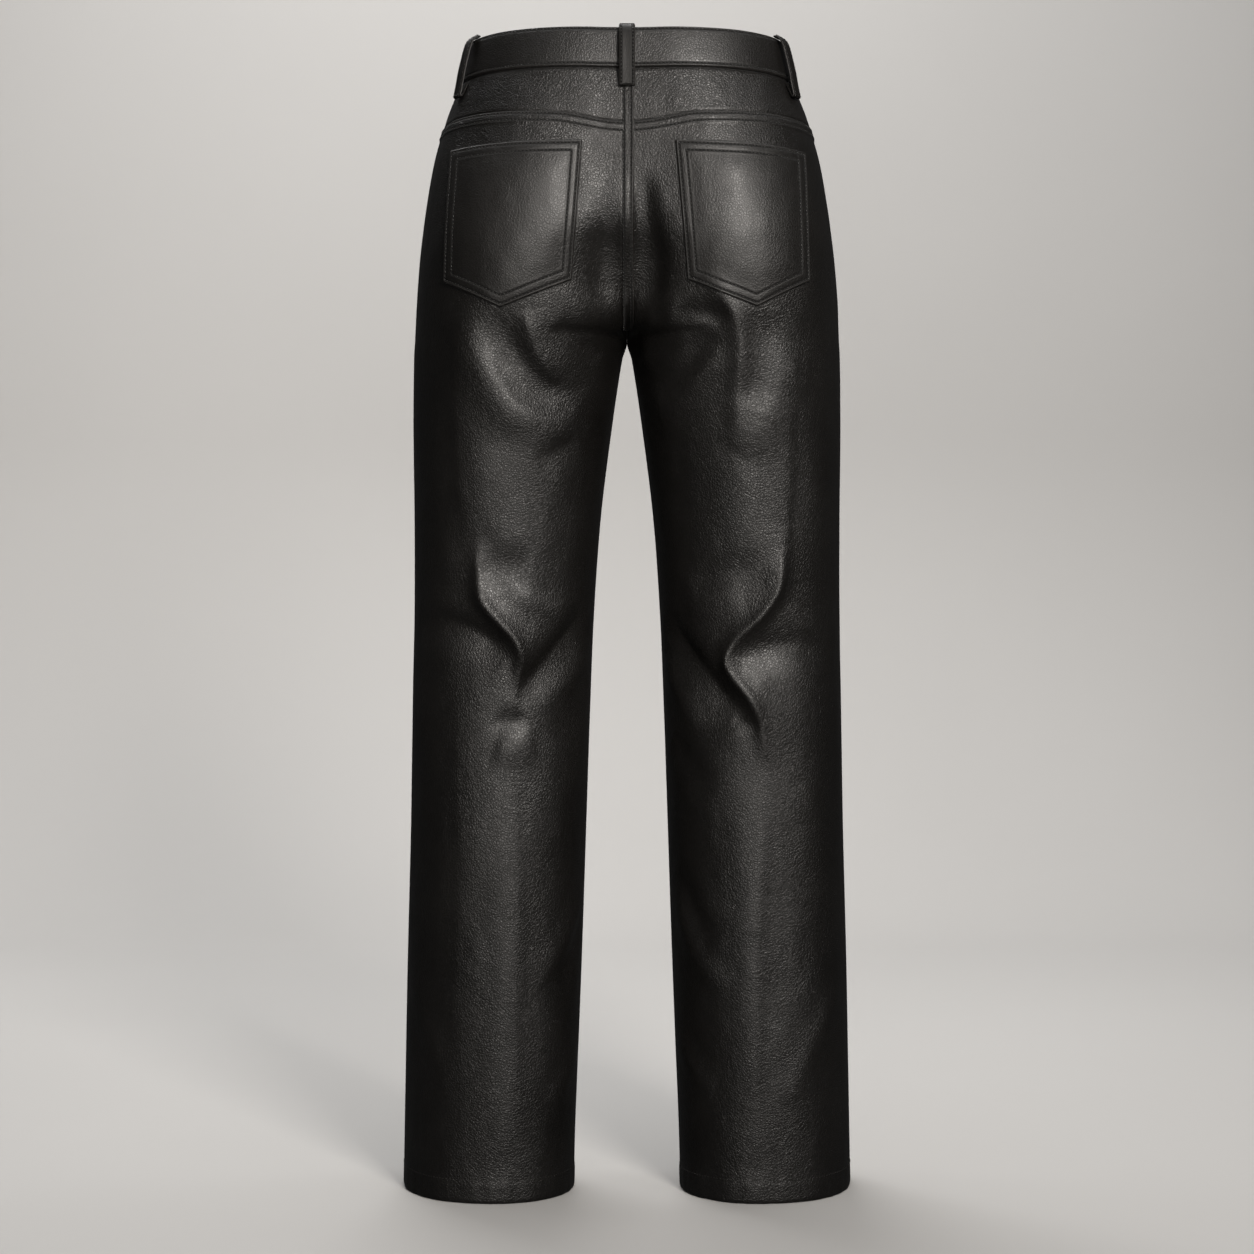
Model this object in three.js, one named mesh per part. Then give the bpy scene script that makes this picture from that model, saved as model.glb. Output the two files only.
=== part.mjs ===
// Straight-leg leather trousers, hollow and filled out as if worn, seen as a maker cuts them:
// yokes, back legs, front legs, patch pockets, waistband, belt loops, turned-up hems, fly and button.
// Millimetres, +Z up, -Y the back, +X the wearer's right.  The origin is the middle of the waist
// opening, half way up the waistband.

import * as THREE from 'three';
import { mergeVertices } from 'three/addons/utils/BufferGeometryUtils.js';

// ---- driving dimensions -------------------------------------------------------------------------

const OUTSEAM = 1060; // side length from hem to top, waistband included
const BAND_HEIGHT = 36; // waistband, side
const CROTCH = 784; // height of the crotch point above the hems
const LEATHER = 1.5; // wall of one layer of leather
const SEAM = 0.3; // clearance between neighbouring pieces
const HEM_DEPTH = 22; // leather turned up inside each hem
const BAND_PROUD = 1.3; // the folded band stands out this far over the yokes
const BAND_WALL = 3.2; // two layers and their stiffening
const LAP = 18; // each end of the band runs this far past the centre front
const LOOP_WIDTH = 14.5;
const LOOP_WALL = 2.2;
const LOOP_ARCH = 8.6; // from the form to the middle of a loop's wall, a belt's room
const LOOP_SEAT = 0.6; // the loops' feet stand this far off the form
const SIDE_LOOP_TURN = 62;
const FRONT_LOOP_TURN = 19;
const ZIP_WALL = 1;
const BUTTON_RADIUS = 8.5;
const BUTTON_STACK = 5.5; // from the band to the crown of the button

const ORIGIN_LEVEL = OUTSEAM - BAND_HEIGHT / 2; // height of the origin above the hems
const SEAT_RISE = 86; // height over which the back seam curves from the crotch to the seat
const FRONT_RISE = 96; // the same in front
const CLEFT_RISE = 78; // height over which the parted legs close into one seat
const MM_PER_DEGREE = 1.45; // length along a leg for one degree of turn

// Half sections, from the hem up.  outer and inner are the side seam and the inseam from the middle
// plane, back and front the greatest depths, seat and fore the depths at the middle plane,
// split where the deepest line lies between inner and outer, toe the turn-out of the foot.
const SECTIONS = [
  { level: 0, outer: 208.4, inner: 50.2, back: 83, front: 83, seat: 0, fore: 0, split: 0.5, toe: 0.11 },
  { level: 60, outer: 207.5, inner: 48.5, back: 82, front: 84, seat: 0, fore: 0, split: 0.5, toe: 0.1 },
  { level: 200, outer: 205, inner: 42.8, back: 80, front: 86, seat: 0, fore: 0, split: 0.5, toe: 0.07 },
  { level: 340, outer: 201.5, inner: 38, back: 79, front: 88, seat: 0, fore: 0, split: 0.5, toe: 0.04 },
  { level: 440, outer: 199.8, inner: 34.6, back: 79, front: 90, seat: 0, fore: 0, split: 0.5, toe: 0.01 },
  { level: 530, outer: 198.2, inner: 31, back: 81, front: 91, seat: 0, fore: 0, split: 0.5, toe: 0 },
  { level: 620, outer: 198, inner: 24.6, back: 89, front: 94, seat: 0, fore: 0, split: 0.5, toe: 0 },
  { level: 700, outer: 198.8, inner: 14.8, back: 99, front: 98, seat: 0, fore: 0, split: 0.5, toe: 0 },
  { level: 768, outer: 198.2, inner: 4.6, back: 110, front: 100, seat: 0, fore: 0, split: 0.5, toe: 0 },
  { level: 784, outer: 197.3, inner: 0, back: 113, front: 100, seat: 105, fore: 80, split: 0.5, toe: 0 },
  { level: 824, outer: 195.4, inner: 0, back: 121, front: 100, seat: 111, fore: 84, split: 0.49, toe: 0 },
  { level: 870, outer: 191.4, inner: 0, back: 126, front: 100, seat: 117, fore: 90, split: 0.46, toe: 0 },
  { level: 917, outer: 185, inner: 0, back: 123, front: 99, seat: 117, fore: 94, split: 0.42, toe: 0 },
  { level: 954, outer: 178.2, inner: 0, back: 117, front: 97, seat: 113, fore: 95, split: 0.37, toe: 0 },
  { level: 991, outer: 167, inner: 0, back: 110, front: 95, seat: 108, fore: 94, split: 0.31, toe: 0 },
  { level: 1022, outer: 155.5, inner: 0, back: 104, front: 94, seat: 103, fore: 94, split: 0.26, toe: 0 },
  { level: 1060, outer: 147, inner: 0, back: 97, front: 92, seat: 97, fore: 92, split: 0.22, toe: 0 },
];

// The largest folds.  A path is a list of [turn, level]: turn is 0 down the deepest line of the back or
// front, 90 at the side seam and -90 at the inseam.  rise is out of the leather, width its half spread.
const FOLDS = [
  // left leg, back
  { side: -1, face: -1, rise: 7, width: 12, path: [[24, 779], [14, 752], [2, 725], [-13, 705], [-38, 704]] },
  { side: -1, face: -1, rise: -6, width: 13, path: [[8, 791], [-2, 765], [-14, 734], [-32, 722]] },
  { side: -1, face: -1, rise: 4, width: 8, path: [[-4, 798], [-8, 781], [-16, 761], [-24, 741]] },
  { side: -1, face: -1, rise: 9, width: 10,
    path: [[14, 556], [6, 534], [-4, 516], [-12, 503], [-14, 489], [-10, 455]] },
  { side: -1, face: -1, rise: -7, width: 10, path: [[56, 518], [25, 519], [12, 511], [-1, 498]] },
  { side: -1, face: -1, rise: 5, width: 20, path: [[52, 492], [30, 484]] },
  { side: -1, face: -1, rise: -8, width: 11,
    path: [[-67, 530], [-52, 511], [-38, 493], [-24, 475], [-12, 452]] },
  { side: -1, face: -1, rise: 5, width: 11, path: [[-82, 507], [-56, 478], [-33, 459], [-16, 442]] },
  { side: -1, face: -1, rise: -4, width: 16, path: [[9, 565], [-18, 570]] },
  { side: -1, face: -1, rise: 4, width: 13, path: [[-70, 277], [-55, 238], [-38, 213], [-20, 187]] },
  { side: -1, face: -1, rise: 3.5, width: 13, path: [[-74, 137], [-55, 105], [-42, 85]] },
  // right leg, back
  { side: 1, face: -1, rise: 4, width: 8,
    path: [[-25, 822], [-12, 814], [0, 800], [2, 780], [-2, 745], [-11, 695]] },
  { side: 1, face: -1, rise: -5, width: 13, path: [[-8, 782], [-20, 752], [-32, 722]] },
  { side: 1, face: -1, rise: 6, width: 12, path: [[28, 775], [19, 726], [7, 696], [-6, 681]] },
  { side: 1, face: -1, rise: 5, width: 10, path: [[-8, 776], [-23, 755], [-43, 724], [-61, 703]] },
  { side: 1, face: -1, rise: 9, width: 10,
    path: [[17, 568], [14, 548], [2, 524], [-14, 503], [-18, 488], [-8, 463], [2, 440]] },
  { side: 1, face: -1, rise: -8, width: 11, path: [[-61, 530], [-49, 502], [-33, 478], [-17, 453]] },
  { side: 1, face: -1, rise: -7, width: 10, path: [[-13, 489], [-2, 496], [16, 501], [48, 503]] },
  { side: 1, face: -1, rise: 5, width: 18, path: [[-6, 478], [14, 478], [41, 486]] },
  { side: 1, face: -1, rise: 5, width: 11, path: [[-72, 488], [-51, 452], [-38, 425]] },
  { side: 1, face: -1, rise: 4, width: 13, path: [[-68, 281], [-51, 233], [-35, 208], [-19, 196]] },
  { side: 1, face: -1, rise: 4, width: 13, path: [[62, 191], [34, 136], [18, 93], [6, 48]] },
  // fronts
  { side: -1, face: 1, rise: 5, width: 14, path: [[-70, 792], [-42, 806], [-10, 812]] },
  { side: -1, face: 1, rise: 4, width: 12, path: [[-66, 742], [-36, 770], [6, 778]] },
  { side: -1, face: 1, rise: 4, width: 12, path: [[52, 520], [20, 506], [-16, 514]] },
  { side: -1, face: 1, rise: 5, width: 13, path: [[-58, 476], [-20, 458], [26, 466]] },
  { side: -1, face: 1, rise: 4, width: 13, path: [[-64, 96], [-24, 66], [22, 72]] },
  { side: 1, face: 1, rise: 5, width: 14, path: [[-70, 798], [-36, 800], [0, 818]] },
  { side: 1, face: 1, rise: 4, width: 12, path: [[-62, 736], [-30, 756], [14, 760]] },
  { side: 1, face: 1, rise: 5, width: 12, path: [[60, 506], [22, 498], [-22, 510]] },
  { side: 1, face: 1, rise: 4, width: 13, path: [[-54, 462], [-12, 446], [36, 458]] },
  { side: 1, face: 1, rise: 4, width: 13, path: [[-50, 110], [-8, 82], [40, 90]] },
];

// Rows of the leg panels: heights at the side seam, and where the row meets the middle of the back and
// of the front.  The rows fan out round the crotch so that they follow its curve.
const SHARED_ROWS = [
  0, HEM_DEPTH, 70, 130, 190, 245, 295, 340, 378, 408, 432, 454, 474, 494, 514, 536, 562, 594, 630,
  664, 694,
];
const FANNED_ROWS = [
  { side: 722, back: 718, front: 718 },
  { side: 748, back: 740, front: 740 },
  { side: 772, back: 763, front: 763 },
  { side: 797, back: CROTCH, front: CROTCH },
  { side: 822, back: 787, front: 787 },
  { side: 850, back: 797, front: 797 },
  { side: 880, back: 818, front: 818 },
  { side: 912, back: 852, front: 856 },
  { side: 946, back: 910, front: 906 },
];
const BACK_TURNS = [-90, -76, -62, -48, -36, -26, -16, -7, 2, 12, 23, 35, 48, 62, 76, 90];
const FRONT_TURNS = [-90, -74, -56, -38, -19, 0, 19, 38, 57, 74, 90];
const SEAM_TURN = 0.12; // degrees kept clear at a panel's edges

// Outlines of what is sewn on a panel, as [distance from the middle plane, level], clockwise.
const POCKET_OUTLINES = {
  left: [[40, 950], [158, 947], [164, 827], [112, 802], [49, 827]],
  right: [[43, 950], [160, 946], [163, 828], [115, 803], [54, 827]],
};
const ZIP_OUTLINE = [[0.4, 1014], [13, 1014], [13, 864], [0.4, 864]];
const SHIELD_OUTLINE = [[0.4, 1014], [38, 1014], [38, 874], [22, 858], [0.4, 858]];

// ---- form of the garment ------------------------------------------------------------------------

const clamp01 = (x) => Math.min(1, Math.max(0, x));
const ease = (x) => clamp01(x) ** 2 * (3 - 2 * clamp01(x));
const mix = (a, b, t) => a + (b - a) * t;
const radians = (degrees) => (degrees * Math.PI) / 180;

// A smooth curve through one column of SECTIONS.
function column(name, level) {
  const last = SECTIONS.length - 1;
  let i = 0;
  while (i < last - 1 && level > SECTIONS[i + 1].level) i += 1;
  const slope = (k) => {
    const low = SECTIONS[Math.max(0, k - 1)];
    const high = SECTIONS[Math.min(last, k + 1)];
    return (high[name] - low[name]) / (high.level - low.level);
  };
  const from = SECTIONS[i];
  const to = SECTIONS[i + 1];
  const span = to.level - from.level;
  const t = (level - from.level) / span;
  const bend = t * t * (3 - 2 * t);
  const lead = t * (1 - t) * (1 - t) * span * slope(i);
  const trail = t * t * (t - 1) * span * slope(i + 1);
  return mix(from[name], to[name], bend) + lead + trail;
}

// Depth of the middle seam: nothing below the crotch, then a quarter oval up to the seat or belly.
function middleDepth(face, level) {
  if (level <= CROTCH) return 0;
  const rise = face < 0 ? SEAT_RISE : FRONT_RISE;
  const left = 1 - clamp01((level - CROTCH) / rise);
  return column(face < 0 ? 'seat' : 'fore', level) * Math.sqrt(1 - left * left);
}

// The smooth form, before folds.  side is -1 or 1, face -1 for the back and 1 for the front.
function form(side, face, turn, level) {
  const outer = column('outer', level);
  const inner = level >= CROTCH ? 0 : Math.max(0, column('inner', level));
  const depth = column(face < 0 ? 'back' : 'front', level);
  const middle = middleDepth(face, level);
  const centre = mix(inner, outer, column('split', level));
  const angle = radians(Math.abs(turn));
  let across;
  let deep;
  if (turn >= 0) {
    const fullness = 1 + 0.03 * Math.sin(2 * angle) ** 2;
    across = centre + (outer - centre) * Math.sin(angle) * fullness;
    deep = depth * Math.cos(angle) * fullness;
  } else {
    const t = Math.abs(turn) / 90;
    const parted = 1 - ease((level - CROTCH) / CLEFT_RISE);
    across = mix(centre * (1 - t), centre - (centre - inner) * Math.sin(angle), parted);
    deep = mix(mix(depth, middle, ease(t)), middle + (depth - middle) * Math.cos(angle), parted);
  }
  const toe = level < CROTCH ? column('toe', level) : 0;
  across += toe * deep * face;
  return new THREE.Vector3(side * (Math.max(0, across) + SEAM / 2), face * deep, level - ORIGIN_LEVEL);
}

// The outward direction of the smooth form.
function outward(side, face, turn, level) {
  const inward = form(side, face, Math.max(-90, turn - 1), level);
  const along = form(side, face, Math.min(90, turn + 1), level).sub(inward);
  const up = form(side, face, turn, level + 2).sub(form(side, face, turn, level - 2));
  return along.cross(up).multiplyScalar(-side * face).normalize();
}

// How far the folds lift the leather at one place.
function foldLift(side, face, turn, level) {
  let lift = 0;
  for (const fold of FOLDS) {
    if (fold.side !== side || fold.face !== face) continue;
    const steps = fold.path.length - 1;
    let nearest = Infinity;
    let place = 0;
    for (let i = 0; i < steps; i += 1) {
      const [turnA, levelA] = fold.path[i];
      const [turnB, levelB] = fold.path[i + 1];
      const run = (turnB - turnA) * MM_PER_DEGREE;
      const climb = levelB - levelA;
      const across = (turn - turnA) * MM_PER_DEGREE;
      const t = clamp01((across * run + (level - levelA) * climb) / (run * run + climb * climb));
      const distance = Math.hypot(across - t * run, level - levelA - t * climb);
      if (distance < nearest) {
        nearest = distance;
        place = (i + t) / steps;
      }
    }
    const taper = 0.4 + 0.6 * Math.sin(Math.PI * place);
    lift += fold.rise * taper * Math.exp(-((nearest / fold.width) ** 2));
  }
  const seams = 1 - ease((Math.abs(turn) - 72) / 18);
  return lift * seams;
}

// A point of the leather with its outward direction, for thicken().
function skin(side, face, turn, level) {
  const direction = outward(side, face, turn, level);
  const point = form(side, face, turn, level).addScaledVector(direction, foldLift(side, face, turn, level));
  return { point, direction, level };
}

// Share of a half front or back that lies towards the middle: 1 at the middle, 0 at the side.
const middleShare = (turn) => (1 - Math.sin(radians(turn))) / 2;
const bandSeamLevel = (face, turn) => OUTSEAM - BAND_HEIGHT - (face < 0 ? 5 : 8) * ease(middleShare(turn));
const bandTopLevel = (face, turn) => OUTSEAM - (face < 0 ? 3 : 6) * ease(middleShare(turn));
const yokeSeamLevel = (turn) => 979 - 11 * middleShare(turn) ** 2;

// ---- surfaces and solids ------------------------------------------------------------------------

// Triangles over rows of points, joined into a ring where closed.
function gridSurface(rows, closed = false) {
  const width = rows[0].length;
  const faces = [];
  for (let r = 0; r < rows.length - 1; r += 1) {
    for (let c = 0; c < width - (closed ? 0 : 1); c += 1) {
      const next = (c + 1) % width;
      const corner = r * width + c;
      const beside = r * width + next;
      faces.push([corner, beside, beside + width], [corner, beside + width, corner + width]);
    }
  }
  return { points: rows.flat(), faces };
}

// The solid between two copies of a surface, one moved by low and one by high along its directions.
function thicken({ points, faces }, low, high) {
  const count = points.length;
  const positions = [];
  for (const offset of [high, low]) {
    for (const { point, direction } of points) {
      positions.push(...point.clone().addScaledVector(direction, offset).toArray());
    }
  }
  const open = new Map();
  const index = [];
  for (const [a, b, c] of faces) {
    index.push(a, b, c, c + count, b + count, a + count);
    for (const [from, to] of [[a, b], [b, c], [c, a]]) {
      if (!open.delete(`${to} ${from}`)) open.set(`${from} ${to}`, [from, to]);
    }
  }
  for (const [from, to] of open.values()) {
    index.push(to, from, from + count, to, from + count, to + count);
  }
  return closedGeometry(positions, index);
}

// An indexed geometry whose faces point out.
function closedGeometry(positions, index) {
  const corner = (i) => new THREE.Vector3().fromArray(positions, 3 * index[i]);
  let volume = 0;
  for (let i = 0; i < index.length; i += 3) {
    volume += corner(i).dot(corner(i + 1).cross(corner(i + 2)));
  }
  if (volume < 0) index.reverse();
  const geometry = new THREE.BufferGeometry();
  geometry.setAttribute('position', new THREE.Float32BufferAttribute(positions, 3));
  geometry.setIndex(index);
  return geometry;
}

// The part of a surface inside a convex outline drawn in distances from the middle plane and levels.
function cutOut({ points, faces }, outline) {
  const across = (p) => Math.abs(p.point.x);
  const between = (a, b, t) => ({
    point: a.point.clone().lerp(b.point, t),
    direction: a.direction.clone().lerp(b.direction, t).normalize(),
    level: mix(a.level, b.level, t),
  });
  const kept = [];
  const places = new Map();
  const placeOf = (p) => {
    const key = `${across(p).toFixed(3)} ${p.level.toFixed(3)}`;
    if (!places.has(key)) {
      places.set(key, kept.length);
      kept.push(p);
    }
    return places.get(key);
  };
  const cutFaces = [];
  for (const face of faces) {
    let polygon = face.map((i) => points[i]);
    for (let i = 0; i < outline.length && polygon.length; i += 1) {
      const [acrossA, levelA] = outline[i];
      const [acrossB, levelB] = outline[(i + 1) % outline.length];
      const run = acrossB - acrossA;
      const climb = levelB - levelA;
      const insideBy = (p) => climb * (across(p) - acrossA) - run * (p.level - levelA);
      const trimmed = [];
      polygon.forEach((p, k) => {
        const q = polygon[(k + 1) % polygon.length];
        const [here, there] = [insideBy(p), insideBy(q)];
        if (here >= 0) trimmed.push(p);
        if (here * there < 0) trimmed.push(between(p, q, here / (here - there)));
      });
      polygon = trimmed;
    }
    const corners = polygon.map(placeOf).filter((place, k, all) => place !== all[(k + 1) % all.length]);
    for (let k = 1; k < corners.length - 1; k += 1) {
      cutFaces.push([corners[0], corners[k], corners[k + 1]]);
    }
  }
  return { points: kept, faces: cutFaces };
}

// ---- pieces -------------------------------------------------------------------------------------

const edgeTurn = (turn) => Math.max(-90 + SEAM_TURN, Math.min(90 - SEAM_TURN, turn));

// Level of a leg panel's row at one turn: the fanned rows meet the middle lower than the side.
function rowLevel(row, face, turn) {
  if (row < SHARED_ROWS.length) return SHARED_ROWS[row];
  const fanned = FANNED_ROWS[row - SHARED_ROWS.length];
  return mix(fanned.side, face < 0 ? fanned.back : fanned.front, 1 - ease((turn + 90) / 105));
}

function legSurface(side, face) {
  const turns = (face < 0 ? BACK_TURNS : FRONT_TURNS).map(edgeTurn);
  const rows = [];
  for (let row = 0; row < SHARED_ROWS.length + FANNED_ROWS.length; row += 1) {
    rows.push(turns.map((turn) => skin(side, face, turn, rowLevel(row, face, turn))));
  }
  if (face < 0) {
    rows.push(turns.map((turn) => skin(side, face, turn, yokeSeamLevel(turn) - SEAM / 2)));
  } else {
    for (const share of [0.5, 1]) {
      rows.push(turns.map((turn) => {
        const below = rowLevel(SHARED_ROWS.length + FANNED_ROWS.length - 1, face, turn);
        return skin(side, face, turn, mix(below, bandSeamLevel(face, turn) - SEAM, share));
      }));
    }
  }
  return gridSurface(rows);
}

function yokeSurface(side) {
  const rows = [0, 0.5, 1].map((share) => BACK_TURNS.map((turn) => {
    const low = yokeSeamLevel(turn) + SEAM / 2;
    return skin(side, -1, edgeTurn(turn), mix(low, bandSeamLevel(-1, turn) - SEAM, share));
  }));
  return gridSurface(rows);
}

// A hem ring on the inside of a leg, from the same points as the panels.
function hemSurface(side) {
  const ring = [
    ...BACK_TURNS.map((turn) => [-1, turn]),
    ...FRONT_TURNS.slice(1, -1).reverse().map((turn) => [1, turn]),
  ];
  const rows = [0, HEM_DEPTH].map((level) => ring.map(([face, turn]) => skin(side, face, turn, level)));
  return gridSurface(rows, true);
}

// The waistband: from its under end left of the centre front round the wearer's right, back and left
// to its upper end, which is lifted over the under end.
function bandSurface() {
  const lapTurn = -90 + (90 * LAP) / (column('split', ORIGIN_LEVEL) * column('outer', ORIGIN_LEVEL));
  const lapLift = BAND_WALL + SEAM;
  const quarter = (side, face, turns) => turns.map((turn) => ({ side, face, turn, lift: 0 }));
  const beyondLap = FRONT_TURNS.filter((turn) => turn > lapTurn + 8);
  const places = [
    { side: -1, face: 1, turn: lapTurn, lift: 0 },
    ...quarter(1, 1, FRONT_TURNS),
    ...quarter(1, -1, BACK_TURNS.slice(0, -1).reverse()),
    ...quarter(-1, -1, BACK_TURNS.slice(1)),
    ...quarter(-1, 1, beyondLap.slice(0, -1).reverse()),
    { side: -1, face: 1, turn: lapTurn, lift: lapLift },
    { side: -1, face: 1, turn: -90, lift: lapLift },
    { side: 1, face: 1, turn: lapTurn, lift: lapLift },
  ];
  return gridSurface(places.map(({ side, face, turn, lift }) => (
    [bandSeamLevel(face, turn), bandTopLevel(face, turn)].map((level) => {
      const place = skin(side, face, turn, level);
      place.point.addScaledVector(place.direction, lift);
      return place;
    })
  )));
}

// A belt loop: sewn down on the yoke or front, arched over the band and sewn to its top edge.
function loopSurface(side, face, turn) {
  const wall = LOOP_WALL / 2;
  const seam = bandSeamLevel(face, turn);
  const top = bandTopLevel(face, turn);
  const path = [
    [seam - 17, LOOP_SEAT + wall],
    [seam - 9, LOOP_SEAT + wall],
    [seam - 4, BAND_PROUD + wall + 1.2],
    [seam + 2, LOOP_ARCH - 1],
    [seam + 10, LOOP_ARCH],
    [top - 10, LOOP_ARCH],
    [top - 5, LOOP_ARCH - 1.6],
    [top - 2, BAND_PROUD + SEAM + wall],
  ];
  const spine = path.map(([level, standOff]) => {
    const direction = outward(side, face, turn, level);
    return form(side, face, turn, level).addScaledVector(direction, standOff);
  });
  if (turn === -90) spine.forEach((point) => point.setX(0));
  const across = new THREE.Vector3(0, 0, 1).cross(outward(side, face, turn, top)).normalize();
  return gridSurface(spine.map((point, i) => {
    const below = spine[Math.max(0, i - 1)];
    const above = spine[Math.min(spine.length - 1, i + 1)];
    const direction = across.clone().cross(above.clone().sub(below)).normalize();
    return [-0.5, 0.5].map((share) => ({
      point: point.clone().addScaledVector(across, share * LOOP_WIDTH),
      direction,
    }));
  }));
}

// A shank button on the upper end of the band.
function buttonGeometry() {
  const profile = [
    [0, 0],
    [3.5, 0],
    [3.5, 1.5],
    [BUTTON_RADIUS, 1.5],
    [BUTTON_RADIUS, 3.5],
    [6.5, 4.8],
    [0, BUTTON_STACK],
  ];
  const geometry = new THREE.LatheGeometry(profile.map(([r, h]) => new THREE.Vector2(r, h)), 16);
  geometry.deleteAttribute('normal');
  geometry.deleteAttribute('uv');
  return mergeVertices(geometry, 1e-4);
}

// ---- the garment --------------------------------------------------------------------------------

const leather = { color: 0x1c1b1a, roughness: 0.42, metalness: 0 };
const edgeLeather = { color: 0x201f1e, roughness: 0.5, metalness: 0 };
const tape = { color: 0x161616, roughness: 0.9, metalness: 0 };
const metal = { color: 0x6b6760, roughness: 0.35, metalness: 0.9 };

const trousers = new THREE.Group();

function add(name, geometry, finish) {
  const mesh = new THREE.Mesh(geometry, new THREE.MeshStandardMaterial(finish));
  mesh.name = name;
  trousers.add(mesh);
  return mesh;
}

const loop = (side, face, turn) => thicken(loopSurface(side, face, turn), -LOOP_WALL / 2, LOOP_WALL / 2);
const zipFace = -LEATHER - SEAM; // the zip tapes lie behind the fronts, and the shield behind them
const shieldFace = zipFace - ZIP_WALL - SEAM;

for (const [name, side] of [['left', -1], ['right', 1]]) {
  const back = legSurface(side, -1);
  const front = legSurface(side, 1);
  add(`back_${name}`, thicken(back, -LEATHER, 0), leather);
  add(`front_${name}`, thicken(front, -LEATHER, 0), leather);
  add(`yoke_${name}`, thicken(yokeSurface(side), -LEATHER, 0), leather);
  add(`hem_${name}`, thicken(hemSurface(side), -2 * LEATHER - SEAM, -LEATHER - SEAM), edgeLeather);
  add(`pocket_${name}`, thicken(cutOut(back, POCKET_OUTLINES[name]), SEAM, SEAM + LEATHER), leather);
  add(`loop_side_${name}`, loop(side, -1, SIDE_LOOP_TURN), edgeLeather);
  add(`loop_front_${name}`, loop(side, 1, FRONT_LOOP_TURN), edgeLeather);
  add(`zip_tape_${name}`, thicken(cutOut(front, ZIP_OUTLINE), zipFace - ZIP_WALL, zipFace), tape);
  if (side > 0) {
    const shield = cutOut(front, SHIELD_OUTLINE);
    add('fly_shield', thicken(shield, shieldFace - LEATHER, shieldFace), leather);
  }
}
add('loop_back', loop(1, -1, -90), edgeLeather);
add('waistband', thicken(bandSurface(), BAND_PROUD - BAND_WALL, BAND_PROUD), leather);

const button = add('waist_button', buttonGeometry(), metal);
const bandFace = form(1, 1, -90, ORIGIN_LEVEL).y + BAND_PROUD + BAND_WALL + SEAM;
button.position.set(0, bandFace + SEAM, -2);

export default trousers;
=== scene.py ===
# Black leather trousers, hollow and filled out as if worn, held at the waist over a pale studio floor.
# The back is towards -Y and +X is the wearer's right.  Heights along the garment are levels in
# millimetres above the hems; a turn is the angle round half a front or back, 0 down its deepest line,
# 90 at the side seam and -90 at the inseam or the middle seam.

import math
from collections import namedtuple

import bpy
import numpy as np
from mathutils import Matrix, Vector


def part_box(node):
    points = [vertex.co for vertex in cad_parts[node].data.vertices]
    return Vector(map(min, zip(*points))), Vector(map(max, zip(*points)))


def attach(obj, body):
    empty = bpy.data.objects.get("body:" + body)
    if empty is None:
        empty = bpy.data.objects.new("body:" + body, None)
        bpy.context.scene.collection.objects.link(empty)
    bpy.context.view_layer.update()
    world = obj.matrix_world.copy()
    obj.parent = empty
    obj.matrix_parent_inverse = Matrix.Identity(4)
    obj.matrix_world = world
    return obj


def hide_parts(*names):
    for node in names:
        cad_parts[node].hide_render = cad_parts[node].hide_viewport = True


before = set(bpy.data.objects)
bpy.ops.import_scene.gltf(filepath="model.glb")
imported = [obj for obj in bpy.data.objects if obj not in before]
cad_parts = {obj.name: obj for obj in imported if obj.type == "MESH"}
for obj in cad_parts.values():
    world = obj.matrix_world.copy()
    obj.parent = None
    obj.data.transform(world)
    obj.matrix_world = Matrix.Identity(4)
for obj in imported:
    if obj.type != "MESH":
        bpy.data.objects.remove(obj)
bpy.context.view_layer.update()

# ---- driving dimensions, millimetres ------------------------------------------------------------

MM = 0.001
OUTSEAM = 1060.0
BAND_HEIGHT = 36.0
ORIGIN_LEVEL = OUTSEAM - BAND_HEIGHT / 2
CROTCH = 784.0
LEATHER = 1.5
SEAM = 0.3
HEM_DEPTH = 22.0
HEM_ROW = 20.5
BAND_PROUD = 1.3
BAND_WALL = 3.2
LAP = 18.0
LOOP_WIDTH = 14.5
LOOP_STRIP = 1.9
LOOP_ARCH = 8.6
SIDE_LOOP_TURN = 62.0
FRONT_LOOP_TURN = 19.0
SEAT_RISE = 102.0
FRONT_RISE = 96.0
CLEFT_RISE = 78.0
MM_PER_DEGREE = 1.45
EDGE_TURN = 90.0
HALVES_OVERLAP = 0.25
UNDER_BAND = 4.0

LEFT, RIGHT = -1, 1
BACK, FRONT = -1, 1

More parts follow.
